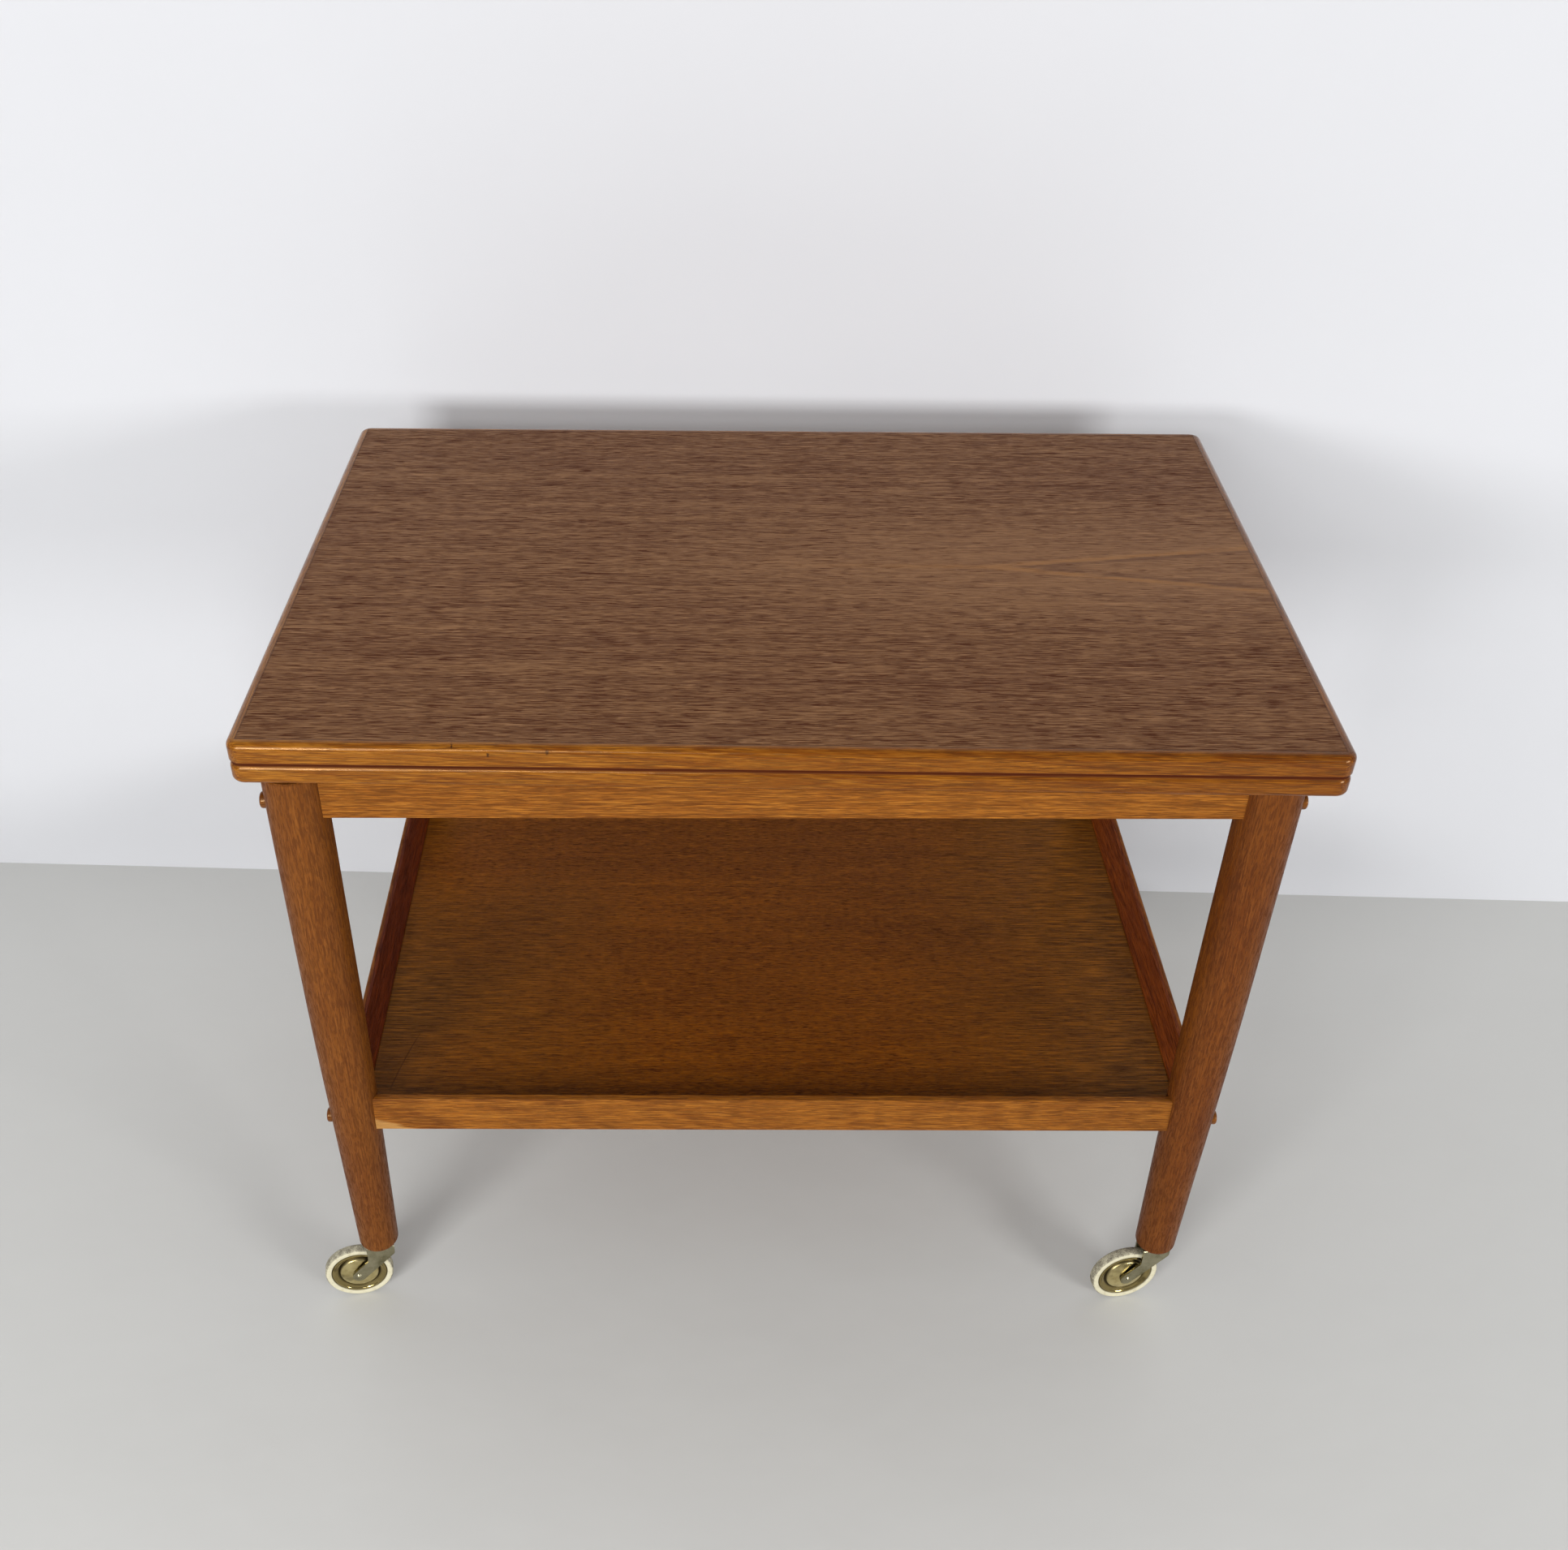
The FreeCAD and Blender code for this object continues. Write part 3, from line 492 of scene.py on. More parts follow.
def cornerSection(profile, corner, degrees):
    # the profile where the edging turns a corner; corner holds its (x, y) and the signs of outward
    (x, y), (outX, outY) = corner
    radius = top["corner"]
    angle = math.radians(degrees)
    c, s = math.cos(angle), math.sin(angle)
    section = []
    for inset, height in profile:
        reach = radius - inset
        if inset > top["arris"] + 1e-6:
            # the strip's inner edge turns in a sharp corner
            reach = (radius - inset) / max(c, s)
        atX = x - outX * radius + outX * reach * c
        atY = y - outY * radius + outY * reach * s
        section.append(onTop(atX, atY, height))
    return section


def edgingStrip(start, end, along, level, squareLow=False, squareHigh=False):
    # from the mitre at one corner to the mitre at the next; along is 0 for X and 1 for Y
    rounded = leafProfile(level)
    steps = top["cornerSteps"]
    mitre = 45
    straight = 90 if along == 0 else 0
    turn = [mitre + (straight - mitre) * k / steps for k in range(steps + 1)]
    sections = [cornerSection(rounded, start, degrees) for degrees in turn]
    if squareLow or squareHigh:
        square = leafProfile(level, squareLow, squareHigh)
        sections += [cornerSection(square, start, straight), cornerSection(square, end, straight)]
    sections += [cornerSection(rounded, end, degrees) for degrees in reversed(turn)]
    return tube(sections)


def cutHinges(strip, level):
    # Pockets for the plates and the barrels in the back strip; gives the cut mesh.
    up = 1 if level == "upper" else -1
    axisY, axisZ = top["hingeAxis"]
    low, high = axisZ - up * top["platePast"], axisZ + up * top["plate"]
    back, front = axisY - top["plateDepth"], axisY + top["plateDepth"]
    count = top["barrelSteps"]
    radius = top["barrel"]
    angles = [math.radians(360 / count * k) for k in range(count)]
    barrelRound = [(axisY + radius * math.cos(angle), axisZ + radius * math.sin(angle))
                   for angle in angles]
    plateRound = [(back, low), (front, low), (front, high), (back, high)]
    piece = bpy.data.objects.new("strip", strip)
    bpy.context.collection.objects.link(piece)
    cutters = []
    for x in top["hinges"]:
        for half, outline in ((top["plateHalf"], plateRound), (top["barrelHalf"], barrelRound)):
            sections = [[onTop(x + end * half, y, z) for y, z in outline] for end in (-1, 1)]
            cutter = bpy.data.objects.new("cutter", shellMesh("cutter", *tube(sections)))
            bpy.context.collection.objects.link(cutter)
            cutters.append(cutter)
            cut = piece.modifiers.new("cut", "BOOLEAN")
            cut.operation = "DIFFERENCE"
            cut.solver = "EXACT"
            cut.object = cutter
    bpy.context.view_layer.update()
    shaped = piece.evaluated_get(bpy.context.evaluated_depsgraph_get())
    done = bpy.data.meshes.new_from_object(shaped)
    for helper in cutters + [piece]:
        bpy.data.objects.remove(helper)
    return done


def buildEdging(level, material):
    places = {}
    for name, (outX, outY) in corners.items():
        x = top["right"] if outX > 0 else top["left"]
        y = top["back"] if outY > 0 else top["front"]
        places[name] = ((x, y), (outX, outY))
    # the arris at the hinges is square
    lowSquare = level == "upper"
    back = edgingStrip(places["rear_left"], places["rear_right"], 0, level,
                       lowSquare, not lowSquare)
    others = joined([
        edgingStrip(places["front_left"], places["front_right"], 0, level),
        edgingStrip(places["front_left"], places["rear_left"], 1, level),
        edgingStrip(places["front_right"], places["rear_right"], 1, level)])
    name = level + "Edging"
    mesh = shellMesh(name, *others, cutHinges(shellMesh("back", *back), level))
    makePiece(name, mesh, material, level + "_leaf", level + "_leaf_edging")


dress(topVeneer(), "upper_leaf_panel", "lower_leaf_panel")
edgingMaterial = edgingTeak()
buildEdging("upper", edgingMaterial)
buildEdging("lower", edgingMaterial)
print("top built and dressed")


legs = {
    "x": 0.338, "y": 0.225, "foot": 0.0665, "top": 0.5662,
    "footRadius": 0.0167, "topRadius": 0.0216,
    "bend": 0.318, "bendRadius": 0.0211, "bendLength": 0.060, "bendSteps": 12,
    "rounding": 0.005, "roundSteps": 8, "chamfer": 0.001, "around": 128,
    "wood": dict(plainTeak, seed=51.0, light=tone(120, 69, 21), dark=tone(98, 51, 15),
                 stain=tone(92, 44, 13), fleck=tone(146, 89, 37), pore=tone(60, 27, 8),
                 stainShare=0.6, poreShare=0.4, pith=(0.05, -0.04), bands=90.0, lines=300.0,
                 bandShare=0.3, lineShare=0.25, streakShare=0.25, fleckShare=0.4,
                 streaks=(24.0, 240.0, 240.0), pores=(150.0, 1100.0, 1100.0),
                 dashes=(90.0, 640.0, 640.0), roughness=0.36),
    # the right legs come from another board and are a little redder
    "rightBoard": (0.8, 0.02), "redder": tone(214, 188, 168), "redderShare": 0.45,
    # painted shade in a dark ring round each peg on the outer side
    "pegLevels": (0.5389, 0.22315), "peg": 0.006, "pegRing": (0.0007, 0.0001), "ringShadeShare": 0.7,
    "relief": 0.0001}


def legTeak():
    finish = Finish("legTeak")
    x, y, z = finish.split(finish.coords())
    outX = abs(x) - legs["x"]
    outY = abs(y) - legs["y"]
    onRight = x.above(0.0)
    higher, aside = legs["rightBoard"]
    grain = finish.join(z + onRight * higher, outX + onRight * aside, outY)
    colour, roughness, height = teak(finish, grain, legs["wood"])
    redder = finish.mix(1.0, colour, legs["redder"], "MULTIPLY")
    colour = finish.mix(onRight * legs["redderShare"], colour, redder)
    # painted shade round each peg where it enters the leg
    for level in legs["pegLevels"]:
        away = (outY * outY + (z - level) * (z - level)) ** 0.5
        pegShade = abs(away - legs["peg"]).between(*legs["pegRing"]) * outX.above(0.0)
        colour = finish.mix(pegShade * legs["ringShadeShare"], colour, legs["wood"]["pore"])
    return finish.close(colour, roughness, height, legs["relief"])


def legRadius(height):
    # nearly straight above, tapered below, with an easy curve between
    above = (legs["topRadius"] - legs["bendRadius"]) / (legs["top"] - legs["bend"])
    below = (legs["bendRadius"] - legs["footRadius"]) / (legs["bend"] - legs["foot"])
    away = height - legs["bend"]
    reach = legs["bendLength"]
    share = min(max((away + reach) / (2 * reach), 0.0), 1.0)
    if share in (0.0, 1.0):
        return legs["bendRadius"] + away * (above if share else below)
    return legs["bendRadius"] + reach * (above * share ** 2 - below * (1 - share) ** 2)


def buildLegs(material):
    rounding, steps = legs["rounding"], legs["roundSteps"]
    profile = [(0.0, legs["foot"])]
    for k in range(steps + 1):
        angle = math.radians(90 * k / steps)
        profile.append((legs["footRadius"] - rounding * (1 - math.sin(angle)),
                        legs["foot"] + rounding * (1 - math.cos(angle))))
    half = legs["bendSteps"] // 2
    for k in range(-half, half + 1):
        height = legs["bend"] + legs["bendLength"] * k / half
        profile.append((legRadius(height), height))
    shoulder = legs["top"] - legs["chamfer"]
    profile.append((legRadius(shoulder), shoulder))
    profile.append((legs["topRadius"] - legs["chamfer"], legs["top"]))
    profile.append((0.0, legs["top"]))
    for name, (outX, outY) in corners.items():
        points, faces = turnedShell(profile, (outX * legs["x"], outY * legs["y"]), legs["around"])
        first, last = name.split("_")
        legName = first + last.capitalize() + "Leg"
        mesh = shellMesh(legName, points, faces)
        makePiece(legName, mesh, material, "frame", name + "_leg")


rails = {
    "wood": dict(plainTeak, seed=71.0, light=tone(152, 91, 26), dark=tone(116, 63, 13),
                 stain=tone(120, 62, 12), fleck=tone(174, 111, 38), pore=tone(60, 26, 4),
                 poreShare=0.55, pith=(0.24, 0.10), runOut=(0.03, 0.05), bands=130.0, lines=560.0,
                 fibres=(34.0, 1500.0, 1500.0), pores=(80.0, 2200.0, 2200.0),
                 dashes=(50.0, 1500.0, 1500.0), lineShare=0.65, streakShare=0.15, roughness=0.36),
    # each side of the frame and each level has its own board
    "otherSide": 1.3, "otherLevel": 2.1, "levelsPart": 0.4,
    # the short rails are darker with painted shade from their inner slopes to this far past the
    # middle
    "deep": {"left": tone(178, 122, 70), "right": tone(210, 164, 108)}, "deepTo": (0.0085, 0.005),
    # pale sapwood at one end of the front shelf rail, from its lower corner
    "sapwood": tone(206, 158, 92), "sapwoodShare": 0.5, "sapwoodFrom": (-0.3160, 0.2150),
    "sapwoodSize": (0.030, 0.011), "sapwoodEdge": (1.1, 0.8), "sapwoodWaver": 0.5,
    "waver": (60.0, 300.0, 300.0), "waverSeed": 3.0, "inFront": (-0.2, -0.23), "relief": 0.0001}


def railTeak(name, lengthwise):
    finish = Finish(name)
    x, y, z = finish.split(finish.coords())
    along, depth = (x, y) if lengthwise else (y, x)
    board = along + depth.above(0.0) * rails["otherSide"]
    board = board + z.above(rails["levelsPart"]) * rails["otherLevel"]
    grain = finish.join(board, z, depth)
    colour, roughness, height = teak(finish, grain, rails["wood"])
    if lengthwise:
        (startX, startZ), (length, rise) = rails["sapwoodFrom"], rails["sapwoodSize"]
        waver = finish.noise(finish.stretched(grain, rails["waver"], rails["waverSeed"])) - 0.5
        reach = (x - startX) / length + (z - startZ) / rise + waver * rails["sapwoodWaver"]
        sapwood = reach.between(*rails["sapwoodEdge"]) * y.between(*rails["inFront"])
        colour = finish.mix(sapwood * rails["sapwoodShare"], colour, rails["sapwood"])
    else:
        # painted shade on the inner slopes and tops of the short rails, darker on the left
        deep = finish.mix(x.above(0.0), rails["deep"]["left"], rails["deep"]["right"])
        deeper = finish.mix(1.0, colour, deep, "MULTIPLY")
        ends, full = rails["deepTo"]
        inside = abs(x).between(legs["x"] + ends, legs["x"] + full)
        colour = finish.mix(inside, colour, deeper)
    return finish.close(colour, roughness, height, rails["relief"])


shelf = {
    "wood": dict(plainTeak, seed=91.0, light=tone(135, 72, 5), dark=tone(111, 53, 2),
                 stain=tone(102, 47, 2), fleck=tone(162, 96, 18), pore=tone(62, 26, 0),
                 poreShare=0.85, streakShare=0.25, pith=(-0.06, -0.14),
                 streaks=(8.0, 240.0, 240.0), fibres=(80.0, 1800.0, 1800.0),
                 pores=(150.0, 2300.0, 2300.0), dashes=(110.0, 1700.0, 1700.0), roughness=0.36),
    # painted shade, darker and greener, in patchy zones towards the two ends
    "endShade": tone(98, 66, 22), "endShadeShare": 0.55, "endsFrom": (0.10, 0.30),
    "zones": (3.0, 4.0, 4.0), "zoneSeed": 12.0, "zoneRange": (0.36, 0.58),
    # raised fibres are pale and the valleys between them dark: the share anywhere, and what is
    # added to it at the ends
    "ribs": (36.0, 900.0, 900.0), "ribSeed": 21.0,
    "valleyRange": (0.50, 0.62), "valleyShare": (0.2, 0.45),
    "ribRange": (0.50, 0.36), "ribShare": (0.15, 0.5),
    # a scratch from one (x, y) to another, with a bow
    "scratchFrom": (-0.3125, -0.2066), "scratchTo": (-0.2955, -0.1343), "scratchBow": -0.006,
    "scratchWidth": (0.0008, 0.0002), "scratchEnds": (0.1, 0.8), "scratchShare": 0.7,
    "gloss": gloss(0.25, 255, 200, 130), "relief": 0.00005}


def shelfVeneer():
    finish = Finish("shelfVeneer")
    place = finish.coords()
    x, y, z = finish.split(place)
    wood = shelf["wood"]
    colour, roughness, height = teak(finish, place, wood)
    # painted shade in darker, greener zones towards the two ends
    zones = finish.noise(finish.stretched(place, shelf["zones"], shelf["zoneSeed"]), detail=1.0)
    ends = abs(x).between(*shelf["endsFrom"]) * zones.between(*shelf["zoneRange"])
    colour = finish.mix(ends * shelf["endShadeShare"], colour, shelf["endShade"])
    ribs = finish.noise(finish.stretched(place, shelf["ribs"], shelf["ribSeed"]))
    for kind, mark in (("valley", wood["pore"]), ("rib", wood["fleck"])):
        anywhere, atEnds = shelf[kind + "Share"]
        raised = ribs.between(*shelf[kind + "Range"]) * (ends * atEnds + anywhere)
        colour = finish.mix(raised, colour, mark)
    (startX, startY), (endX, endY) = shelf["scratchFrom"], shelf["scratchTo"]
    share = (y - startY) / (endY - startY)
    bow = share * (1.0 - share) * shelf["scratchBow"]
    line = x - startX - share * (endX - startX) - bow
    full, fading = shelf["scratchEnds"]
    scratch = (abs(line).between(*shelf["scratchWidth"]) * share.between(0.0, full)
               * share.between(1.0, fading))
    colour = finish.mix(scratch * shelf["scratchShare"], colour, wood["pore"])
    return finish.close(colour, roughness, height - scratch, shelf["relief"], **shelf["gloss"])


pegs = {
    "wood": dict(legs["wood"], seed=11.0, roughness=0.14), "gloss": gloss(0.5, 255, 214, 160),
    "relief": 0.00002}
beech = {
    "wood": dict(plainTeak, light=tone(206, 172, 128), dark=tone(184, 146, 102),
                 stain=tone(176, 138, 96), fleck=tone(216, 184, 140), pore=tone(140, 100, 66),
                 poreShare=0.3, roughness=0.55), "relief": 0.00006}


def pegTeak():
    finish = Finish("pegTeak")
    colour, roughness, height = teak(finish, finish.coords(), pegs["wood"])
    return finish.close(colour, roughness, height, pegs["relief"], **pegs["gloss"])


def innerBeech():
    finish = Finish("innerBeech")
    x, y, z = finish.split(finish.coords())
    colour, roughness, height = teak(finish, finish.join(y, x, z), beech["wood"])
    return finish.close(colour, roughness, height, beech["relief"])


buildLegs(legTeak())
lengthwiseTeak = railTeak("railTeakLong", True)
crosswiseTeak = railTeak("railTeakShort", False)
for kind in ("_apron", "_shelf_rail"):
    dress(lengthwiseTeak, "front" + kind, "rear" + kind)
    dress(crosswiseTeak, "left" + kind, "right" + kind)
dress(shelfVeneer(), "shelf_panel")
dress(pegTeak(), "apron_pegs", "shelf_pegs")
dress(innerBeech(), "pivot_board", "pivot_cleats", "turn_stop")
print("frame built and dressed")


caster = {
    # how far the axle trails, the degrees its fork is turned by, and radii
    "trail": 0.022, "angle": 10.0, "wheel": 0.0295, "disc": 0.0243, "step": 0.0176, "around": 120,
    # (radius, height above the middle) of one side, outwards from the hub
    "discSide": (
        (0.00225, 0.0058), (0.0026, 0.0060), (0.0045, 0.0060), (0.0049, 0.0059), (0.0052, 0.0056),
        (0.0058, 0.0054), (0.0100, 0.0049), (0.0146, 0.0042), (0.0152, 0.0040), (0.0158, 0.0038),
        (0.0164, 0.0034), (0.0169, 0.0027), (0.0173, 0.0021), (0.0176, 0.0018), (0.0180, 0.0019),
        (0.0186, 0.0023), (0.0194, 0.0028), (0.0202, 0.0031), (0.0208, 0.0033), (0.0213, 0.0036),
        (0.0216, 0.0039), (0.0219, 0.00415), (0.0222, 0.0042), (0.0225, 0.0041), (0.0229, 0.0039),
        (0.0234, 0.0038), (0.0240, 0.0037), (0.0243, 0.0034)),
    "tyreSide": (
        (0.02435, 0.0038), (0.02450, 0.0041), (0.0250, 0.0043), (0.0260, 0.0045), (0.0270, 0.0046),
        (0.0276, 0.0046), (0.0281, 0.0044), (0.0286, 0.0041), (0.0290, 0.0037), (0.0293, 0.0033),
        (0.0295, 0.0028))}
brass = {
    "bright": tone(216, 200, 146), "dull": tone(158, 140, 84),
    "dullRange": (0.40, 0.66), "dullShare": 0.6,
    # the ring outside the step is darker with painted shade, and painted shade lies in the step, at
    # the tyre and round the hub, with dark patches besides
    "ring": tone(132, 115, 67), "ringFrom": (-0.0008, 0.0004), "ringShadeShare": 0.75,
    "shadeAndPatches": tone(44, 34, 14), "shadeAndPatchesShare": 0.9, "creaseWidth": (0.0019, 0.0004),
    "seatWidth": (0.0011, 0.0003), "hub": (0.0066, 0.0046), "hubShare": 0.8,
    "patches": 60.0, "patchRange": (0.56, 0.66), "patchShare": 0.55,
    "tarnish": 130.0, "spun": 2600.0, "spunAside": 300.0, "spunSeed": 4.0,
    "roughness": 0.11, "dullRoughness": 0.14, "shadeAndPatchesRoughness": 0.3,
    "relief": 0.001, "tarnishHeight": 0.06, "spunHeight": 0.01}
rubber = {
    "cream": (tone(214, 208, 180), tone(184, 174, 142)),
    "creamRange": (0.48, 0.72), "creamShare": 0.6,
    # the tread is worn rough and grey
    "grime": tone(104, 98, 88), "tread": (0.0014, 0.0006), "wornRange": (0.52, 0.92),
    "wornBy": (0.7, 0.8), "speckle": 1100.0, "patches": 210.0,
    "roughness": 0.42, "treadRoughness": 0.4,
    "relief": 0.0004, "treadHeight": 0.9, "sideHeight": 0.1}
metal = {
    # bright and dull colour, roughness and the waves per metre of the wear
    "fork": (tone(170, 164, 136), tone(128, 122, 92), 0.24, 70.0),
    "hinge": (tone(198, 172, 108), tone(140, 112, 62), 0.32, 120.0),
    "zinc": (tone(190, 190, 188), tone(140, 140, 138), 0.36, 120.0),
    "wearRange": (0.38, 0.66), "wearRoughness": 0.25, "scratches": 9.0, "scratchRoughness": 0.12,
    "bare": {"Metallic": 1.0, "Specular IOR Level": 0.5}, "relief": 0.00002}
felt = {
    "low": tone(48, 74, 52), "high": tone(74, 104, 74), "fibres": 2400.0, "roughness": (0.9, 0.1),
    "relief": 0.0003}


def casterPlace(finish):
    # distances from the axle, and along it outwards to the side that shows
    x, y, z = finish.split(finish.coords())
    rear = y.above(0.0) * 2.0 - 1.0
    right = x.above(0.0) * 2.0 - 1.0
    dx = x - right * legs["x"]
    dy = y - rear * legs["y"]
    c, s = math.cos(math.radians(caster["angle"])), math.sin(math.radians(caster["angle"]))
    ahead = rear * (dx * c + dy * s) - caster["trail"]
    aside = rear * (dy * c - dx * s)
    up = z - caster["wheel"]
    return (ahead * ahead + up * up) ** 0.5, aside


def wheelBrass():
    finish = Finish("wheelBrass")
    around, aside = casterPlace(finish)
    place = finish.coords()
    tarnish = finish.noise(place, brass["tarnish"], detail=4.0, roughness=0.6)
    patches = finish.noise(place, brass["patches"])
    rings = finish.join(around * brass["spun"], aside * brass["spunAside"], brass["spunSeed"])
    spun = finish.noise(rings)
    dull = tarnish.between(*brass["dullRange"])
    colour = finish.mix(dull * brass["dullShare"], brass["bright"], brass["dull"])
    # painted shade on the ring outside the step
    begin, full = brass["ringFrom"]
    ring = around.between(caster["step"] + begin, caster["step"] + full)
    colour = finish.mix(ring * brass["ringShadeShare"], colour, brass["ring"])
    # painted shade in the step, at the tyre seat and round the hub, joined with dark patches
    crease = abs(around - caster["step"]).between(*brass["creaseWidth"])
    begin, full = brass["seatWidth"]
    seat = around.between(caster["disc"] - begin, caster["disc"] - full)
    hub = around.between(*brass["hub"]) * brass["hubShare"]
    patch = patches.between(*brass["patchRange"]) * brass["patchShare"]
    shadeAndPatches = crease.largest(seat).largest(hub).largest(patch)
    colour = finish.mix(shadeAndPatches * brass["shadeAndPatchesShare"], colour, brass["shadeAndPatches"])
    roughness = (brass["roughness"] + (tarnish - 0.5) * brass["dullRoughness"]
                 + shadeAndPatches * brass["shadeAndPatchesRoughness"])
    height = tarnish * brass["tarnishHeight"] + spun * brass["spunHeight"]
    return finish.close(colour, roughness, height, brass["relief"], **metal["bare"])


def tyreRubber():
    finish = Finish("tyreRubber")
    around = casterPlace(finish)[0]
    place = finish.coords()
    speckle = finish.noise(place, rubber["speckle"], detail=3.0, roughness=0.7)
    grime = finish.noise(place, rubber["patches"], detail=4.0, roughness=0.65)
    aged = grime.between(*rubber["creamRange"]) * rubber["creamShare"]
    colour = finish.mix(aged, rubber["cream"][0], rubber["cream"][1])
    begin, full = rubber["tread"]
    tread = around.between(caster["wheel"] - begin, caster["wheel"] - full)
    byGrime, bySpeckle = rubber["wornBy"]
    worn = tread * (grime * byGrime + speckle * bySpeckle).between(*rubber["wornRange"])
    colour = finish.mix(worn, colour, rubber["grime"])
    roughness = rubber["roughness"] + tread * rubber["treadRoughness"]
    height = speckle * (tread * rubber["treadHeight"] + rubber["sideHeight"])
    return finish.close(colour, roughness, height, rubber["relief"])


def agedMetal(name, bright, dull, roughness, scale):
    finish = Finish(name)
    place = finish.coords()
    wear = finish.noise(place, scale, detail=4.0, roughness=0.6)
    scratch = finish.noise(place, scale * metal["scratches"])
    colour = finish.mix(wear.between(*metal["wearRange"]), bright, dull)
    rough = (roughness + (wear - 0.5) * metal["wearRoughness"]
             + (scratch - 0.5) * metal["scratchRoughness"])
    return finish.close(colour, rough, scratch, metal["relief"], **metal["bare"])


def greenFelt():
    finish = Finish("greenFelt")
    fibre = finish.noise(finish.coords(), felt["fibres"], detail=3.0, roughness=0.7)
    colour = finish.mix(fibre, felt["low"], felt["high"])
    least, more = felt["roughness"]
    return finish.close(colour, least + fibre * more, fibre, felt["relief"])


def spunRing(side, corner):
    # a ring about the axle of one caster, alike on both sides
    outX, outY = corners[corner]
    turn = math.radians(caster["angle"] + (180 if outY < 0 else 0))
    c, s = math.cos(turn), math.sin(turn)
    ahead, axle = Vector((c, s, 0.0)), Vector((-s, c, 0.0))
    centre = Vector((outX * legs["x"] + caster["trail"] * c,
                     outY * legs["y"] + caster["trail"] * s, caster["wheel"]))
    profile = list(side) + [(radius, -height) for radius, height in reversed(side)]
    size = len(profile)
    points = []
    faces = []
    for k in range(caster["around"]):
        angle = 2 * math.pi * k / caster["around"]
        spoke = ahead * math.cos(angle) + Vector((0.0, 0.0, math.sin(angle)))
        points += [tuple(centre + spoke * radius + axle * height) for radius, height in profile]
        here = k * size
        there = (k + 1) % caster["around"] * size
        for j in range(size):
            after = (j + 1) % size
            faces.append((here + j, here + after, there + after, there + j))
    return points, faces


def buildWheels(discMaterial, tyreMaterial):
    for corner in corners:
        first, last = corner.split("_")
        for ending, side, material, slotName in (("Wheel", "discSide", discMaterial, "wheel_brass"),
                                                 ("Tyre", "tyreSide", tyreMaterial, "pale_tyre")):
            name = first + last.capitalize() + ending
            replaced = corner + "_" + ending.lower()
            mesh = shellMesh(name, *spunRing(caster[side], corner))
            makePiece(name, mesh, material, corner + "_roller", replaced)


buildWheels(wheelBrass(), tyreRubber())
forkMetal = agedMetal("forkMetal", *metal["fork"])
hingeBrass = agedMetal("hingeBrass", *metal["hinge"])
zincSteel = agedMetal("zincSteel", *metal["zinc"])
for corner in corners:
    dress(forkMetal, corner + "_fork", corner + "_axle")
    dress(zincSteel, corner + "_stem", corner + "_socket")
dress(hingeBrass, "lower_hinge_plates", "upper_hinge_plates", "hinge_pins", "lower_hinge_screws",
      "upper_hinge_screws", "pivot_bush")
dress(zincSteel, "pivot_plate", "pivot_plate_screws", "pivot_washer", "pivot_nut", "cleat_screws")
dress(greenFelt(), "felt_pads")
print("casters and fittings dressed")


room = {
    "floorColour": tone(212, 212, 209), "wallColour": tone(222, 223, 227),
    "mottle": 6.0, "mottleColour": tone(150, 150, 148), "mottleShare": 0.05,
    "floorRoughness": (0.75, 0.1), "floorRelief": 0.002,
    "floorSize": 9.0, "wallAt": 0.3616, "wallTurn": -2.15, "wallHeight": 3.2,
    # how bright the world is: as light, in reflections and behind everything
    "ambient": 0.50, "inGloss": 0.45, "behind": 0.9,
    # lamps: name, degrees to the left of the front, degrees up, distance, size, watts
    "aim": (0.0, 0.0, 0.45),
    "lamps": (("leftLamp", 29.0, 13.0, 3.0, (1.0, 0.45), 39.0),
              ("leftHighLamp", 20.0, 25.0, 3.0, (1.4, 0.35), 20.0),
              ("rightLamp", -42.0, 11.0, 3.0, (0.9, 0.45), 33.0))}


def plainPaint(finish, colour):
    mottle = finish.noise(finish.coords(), room["mottle"], detail=4.0)
    return finish.mix(mottle * room["mottleShare"], colour, room["mottleColour"]), mottle


def sheetPiece(name, points, material):
    mesh = bpy.data.meshes.new(name)
    mesh.from_pydata(points, [], [tuple(range(len(points)))])
    mesh.materials.append(material)
    piece = bpy.data.objects.new(name, mesh)
    bpy.context.collection.objects.link(piece)


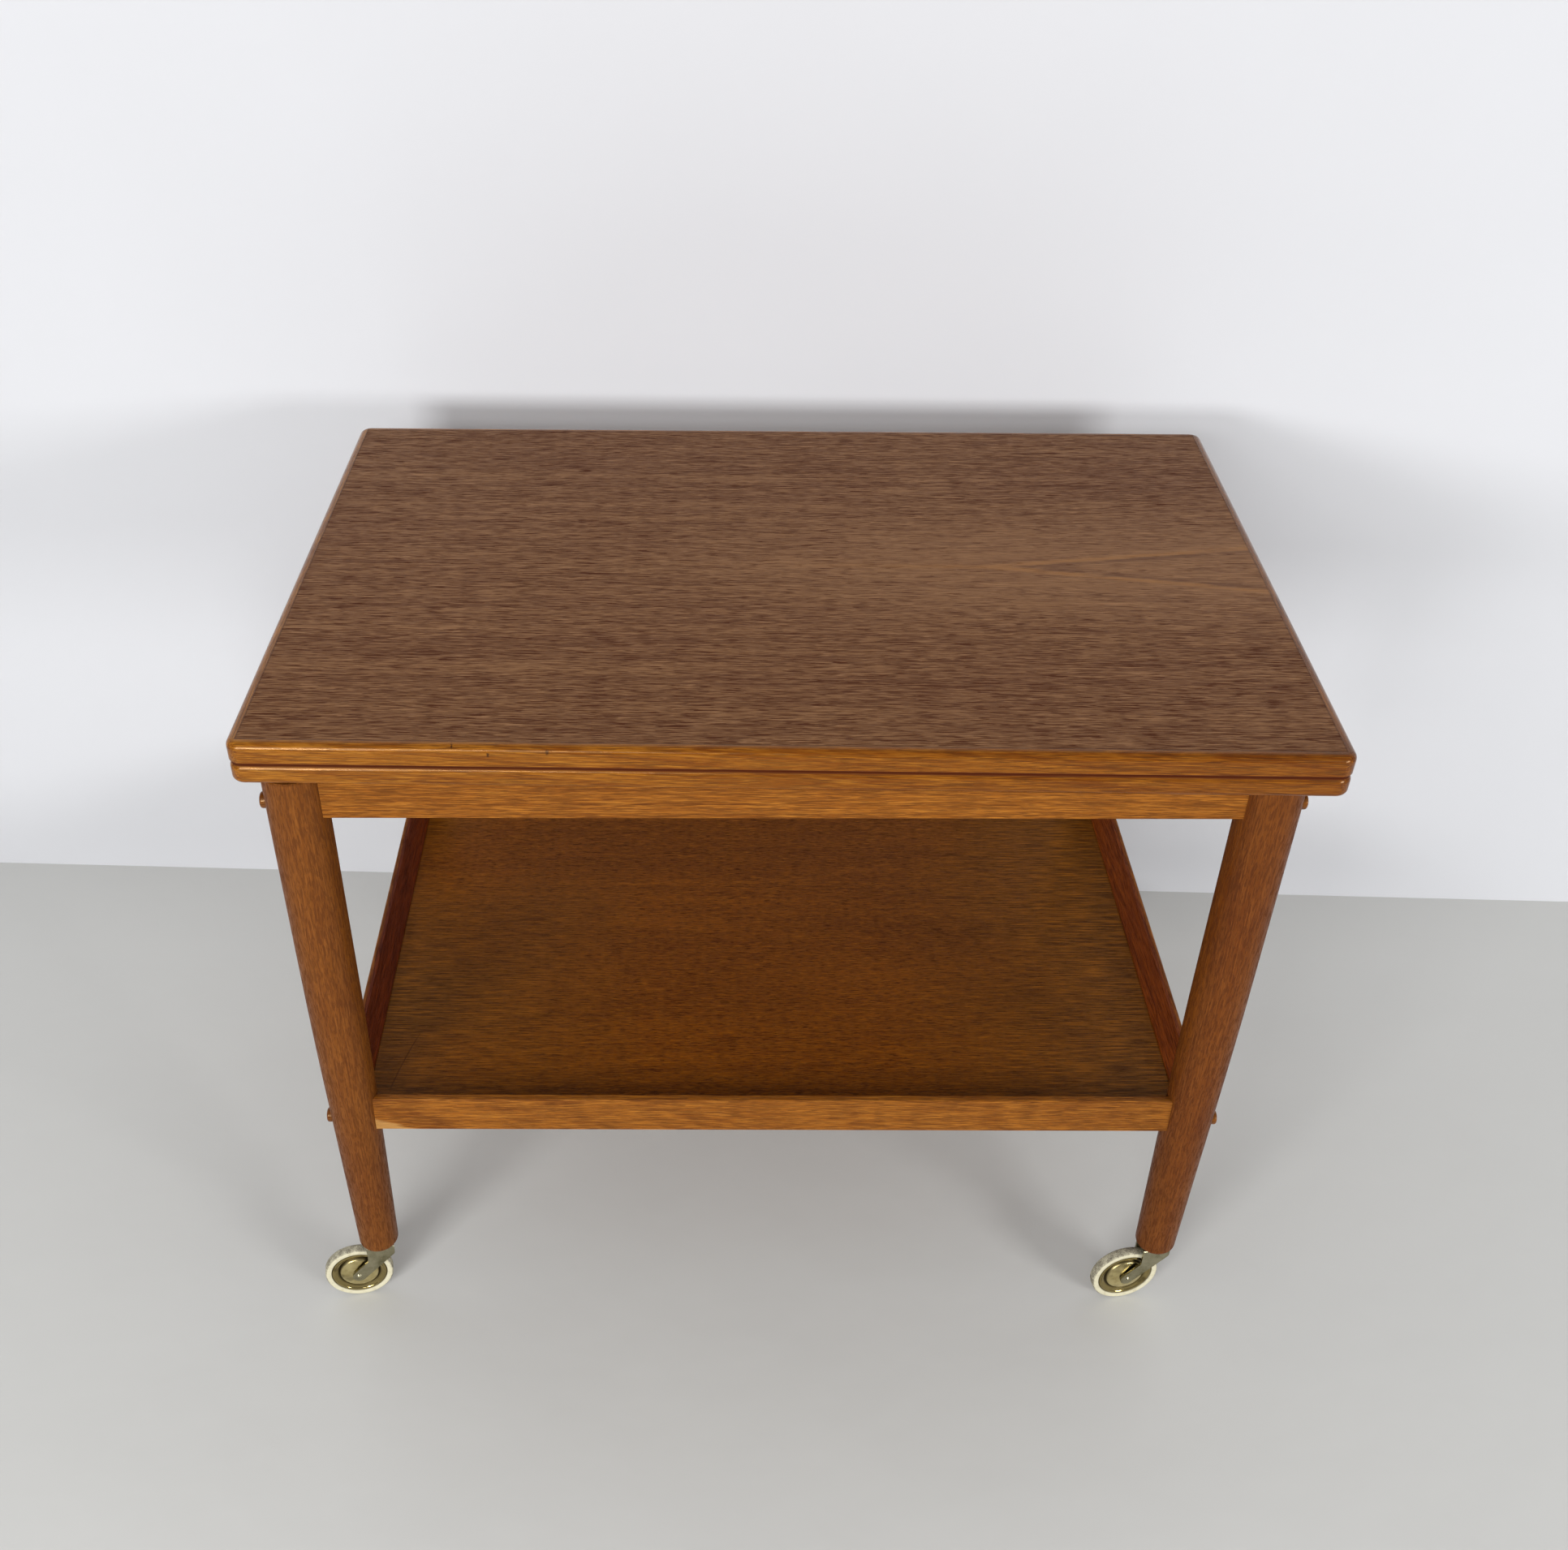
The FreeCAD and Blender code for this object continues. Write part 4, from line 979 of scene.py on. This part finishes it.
def buildRoom():
    half = room["floorSize"] / 2
    finish = Finish("floorPaint")
    colour, mottle = plainPaint(finish, room["floorColour"])
    least, more = room["floorRoughness"]
    sheetPiece("floor", [(-half, -half, 0), (half, -half, 0), (half, half, 0), (-half, half, 0)],
               finish.close(colour, mottle * more + least, mottle, room["floorRelief"]))
    slope = math.tan(math.radians(room["wallTurn"]))
    outline = ((-half, 0.0), (half, 0.0), (half, room["wallHeight"]), (-half, room["wallHeight"]))
    # the wall can be looked through from behind
    finish = Finish("wallPaint")
    colour, mottle = plainPaint(finish, room["wallColour"])
    paint = finish.node("ShaderNodeBsdfDiffuse", {}, {"Color": colour})
    clear = finish.node("ShaderNodeBsdfTransparent", {}, {})
    away = finish.node("ShaderNodeNewGeometry", {}, {}, "Backfacing")
    both = finish.node("ShaderNodeMixShader", {}, {0: away, 1: paint, 2: clear})
    finish.node("ShaderNodeOutputMaterial", {}, {"Surface": both})
    sheetPiece("wall", [(x, room["wallAt"] + x * slope, z) for x, z in outline], finish.owner)


def lightRoom():
    aim = Vector(room["aim"])
    for name, side, rise, distance, size, watts in room["lamps"]:
        data = bpy.data.lights.new(name, "AREA")
        data.shape = "RECTANGLE"
        data.size, data.size_y = size
        data.energy = watts
        lamp = bpy.data.objects.new(name, data)
        side, rise = math.radians(side), math.radians(rise)
        away = Vector((-math.sin(side) * math.cos(rise), -math.cos(side) * math.cos(rise),
                       math.sin(rise)))
        lamp.location = aim + away * distance
        lamp.rotation_euler = (-away).to_track_quat("-Z", "Y").to_euler()
        bpy.context.collection.objects.link(lamp)
    studio = Finish(bpy.data.worlds.new("studio"))
    bpy.context.scene.world = studio.owner
    glow = studio.node("ShaderNodeBackground", {}, {"Strength": room["ambient"]})
    for ray, strength in (("Is Glossy Ray", room["inGloss"]), ("Is Camera Ray", room["behind"])):
        seen = studio.node("ShaderNodeBackground", {}, {"Strength": strength})
        isRay = studio.node("ShaderNodeLightPath", {}, {}, ray)
        glow = studio.node("ShaderNodeMixShader", {}, {0: isRay, 1: glow, 2: seen})
    studio.node("ShaderNodeOutputWorld", {}, {"Surface": glow})


view = {
    "place": (-0.05178, -1.1691, 1.21834), "yaw": -0.62, "pitch": -39.06, "roll": -0.29,
    "sensor": 36.0, "lens": 38.357, "shiftX": 0.05779, "shiftY": 0.07784}


def addCamera():
    data = bpy.data.cameras.new("camera")
    data.sensor_width = view["sensor"]
    data.lens = view["lens"]
    data.shift_x = view["shiftX"]
    data.shift_y = view["shiftY"]
    camera = bpy.data.objects.new("camera", data)
    turn = (Matrix.Rotation(math.radians(-view["yaw"]), 4, "Z")
            @ Matrix.Rotation(math.radians(90 + view["pitch"]), 4, "X")
            @ Matrix.Rotation(math.radians(view["roll"]), 4, "Z"))
    camera.matrix_world = Matrix.Translation(view["place"]) @ turn
    bpy.context.collection.objects.link(camera)
    bpy.context.scene.camera = camera


buildRoom()
lightRoom()
addCamera()
bpy.context.scene.view_settings.view_transform = "Standard"
print("room, lamps and camera set")
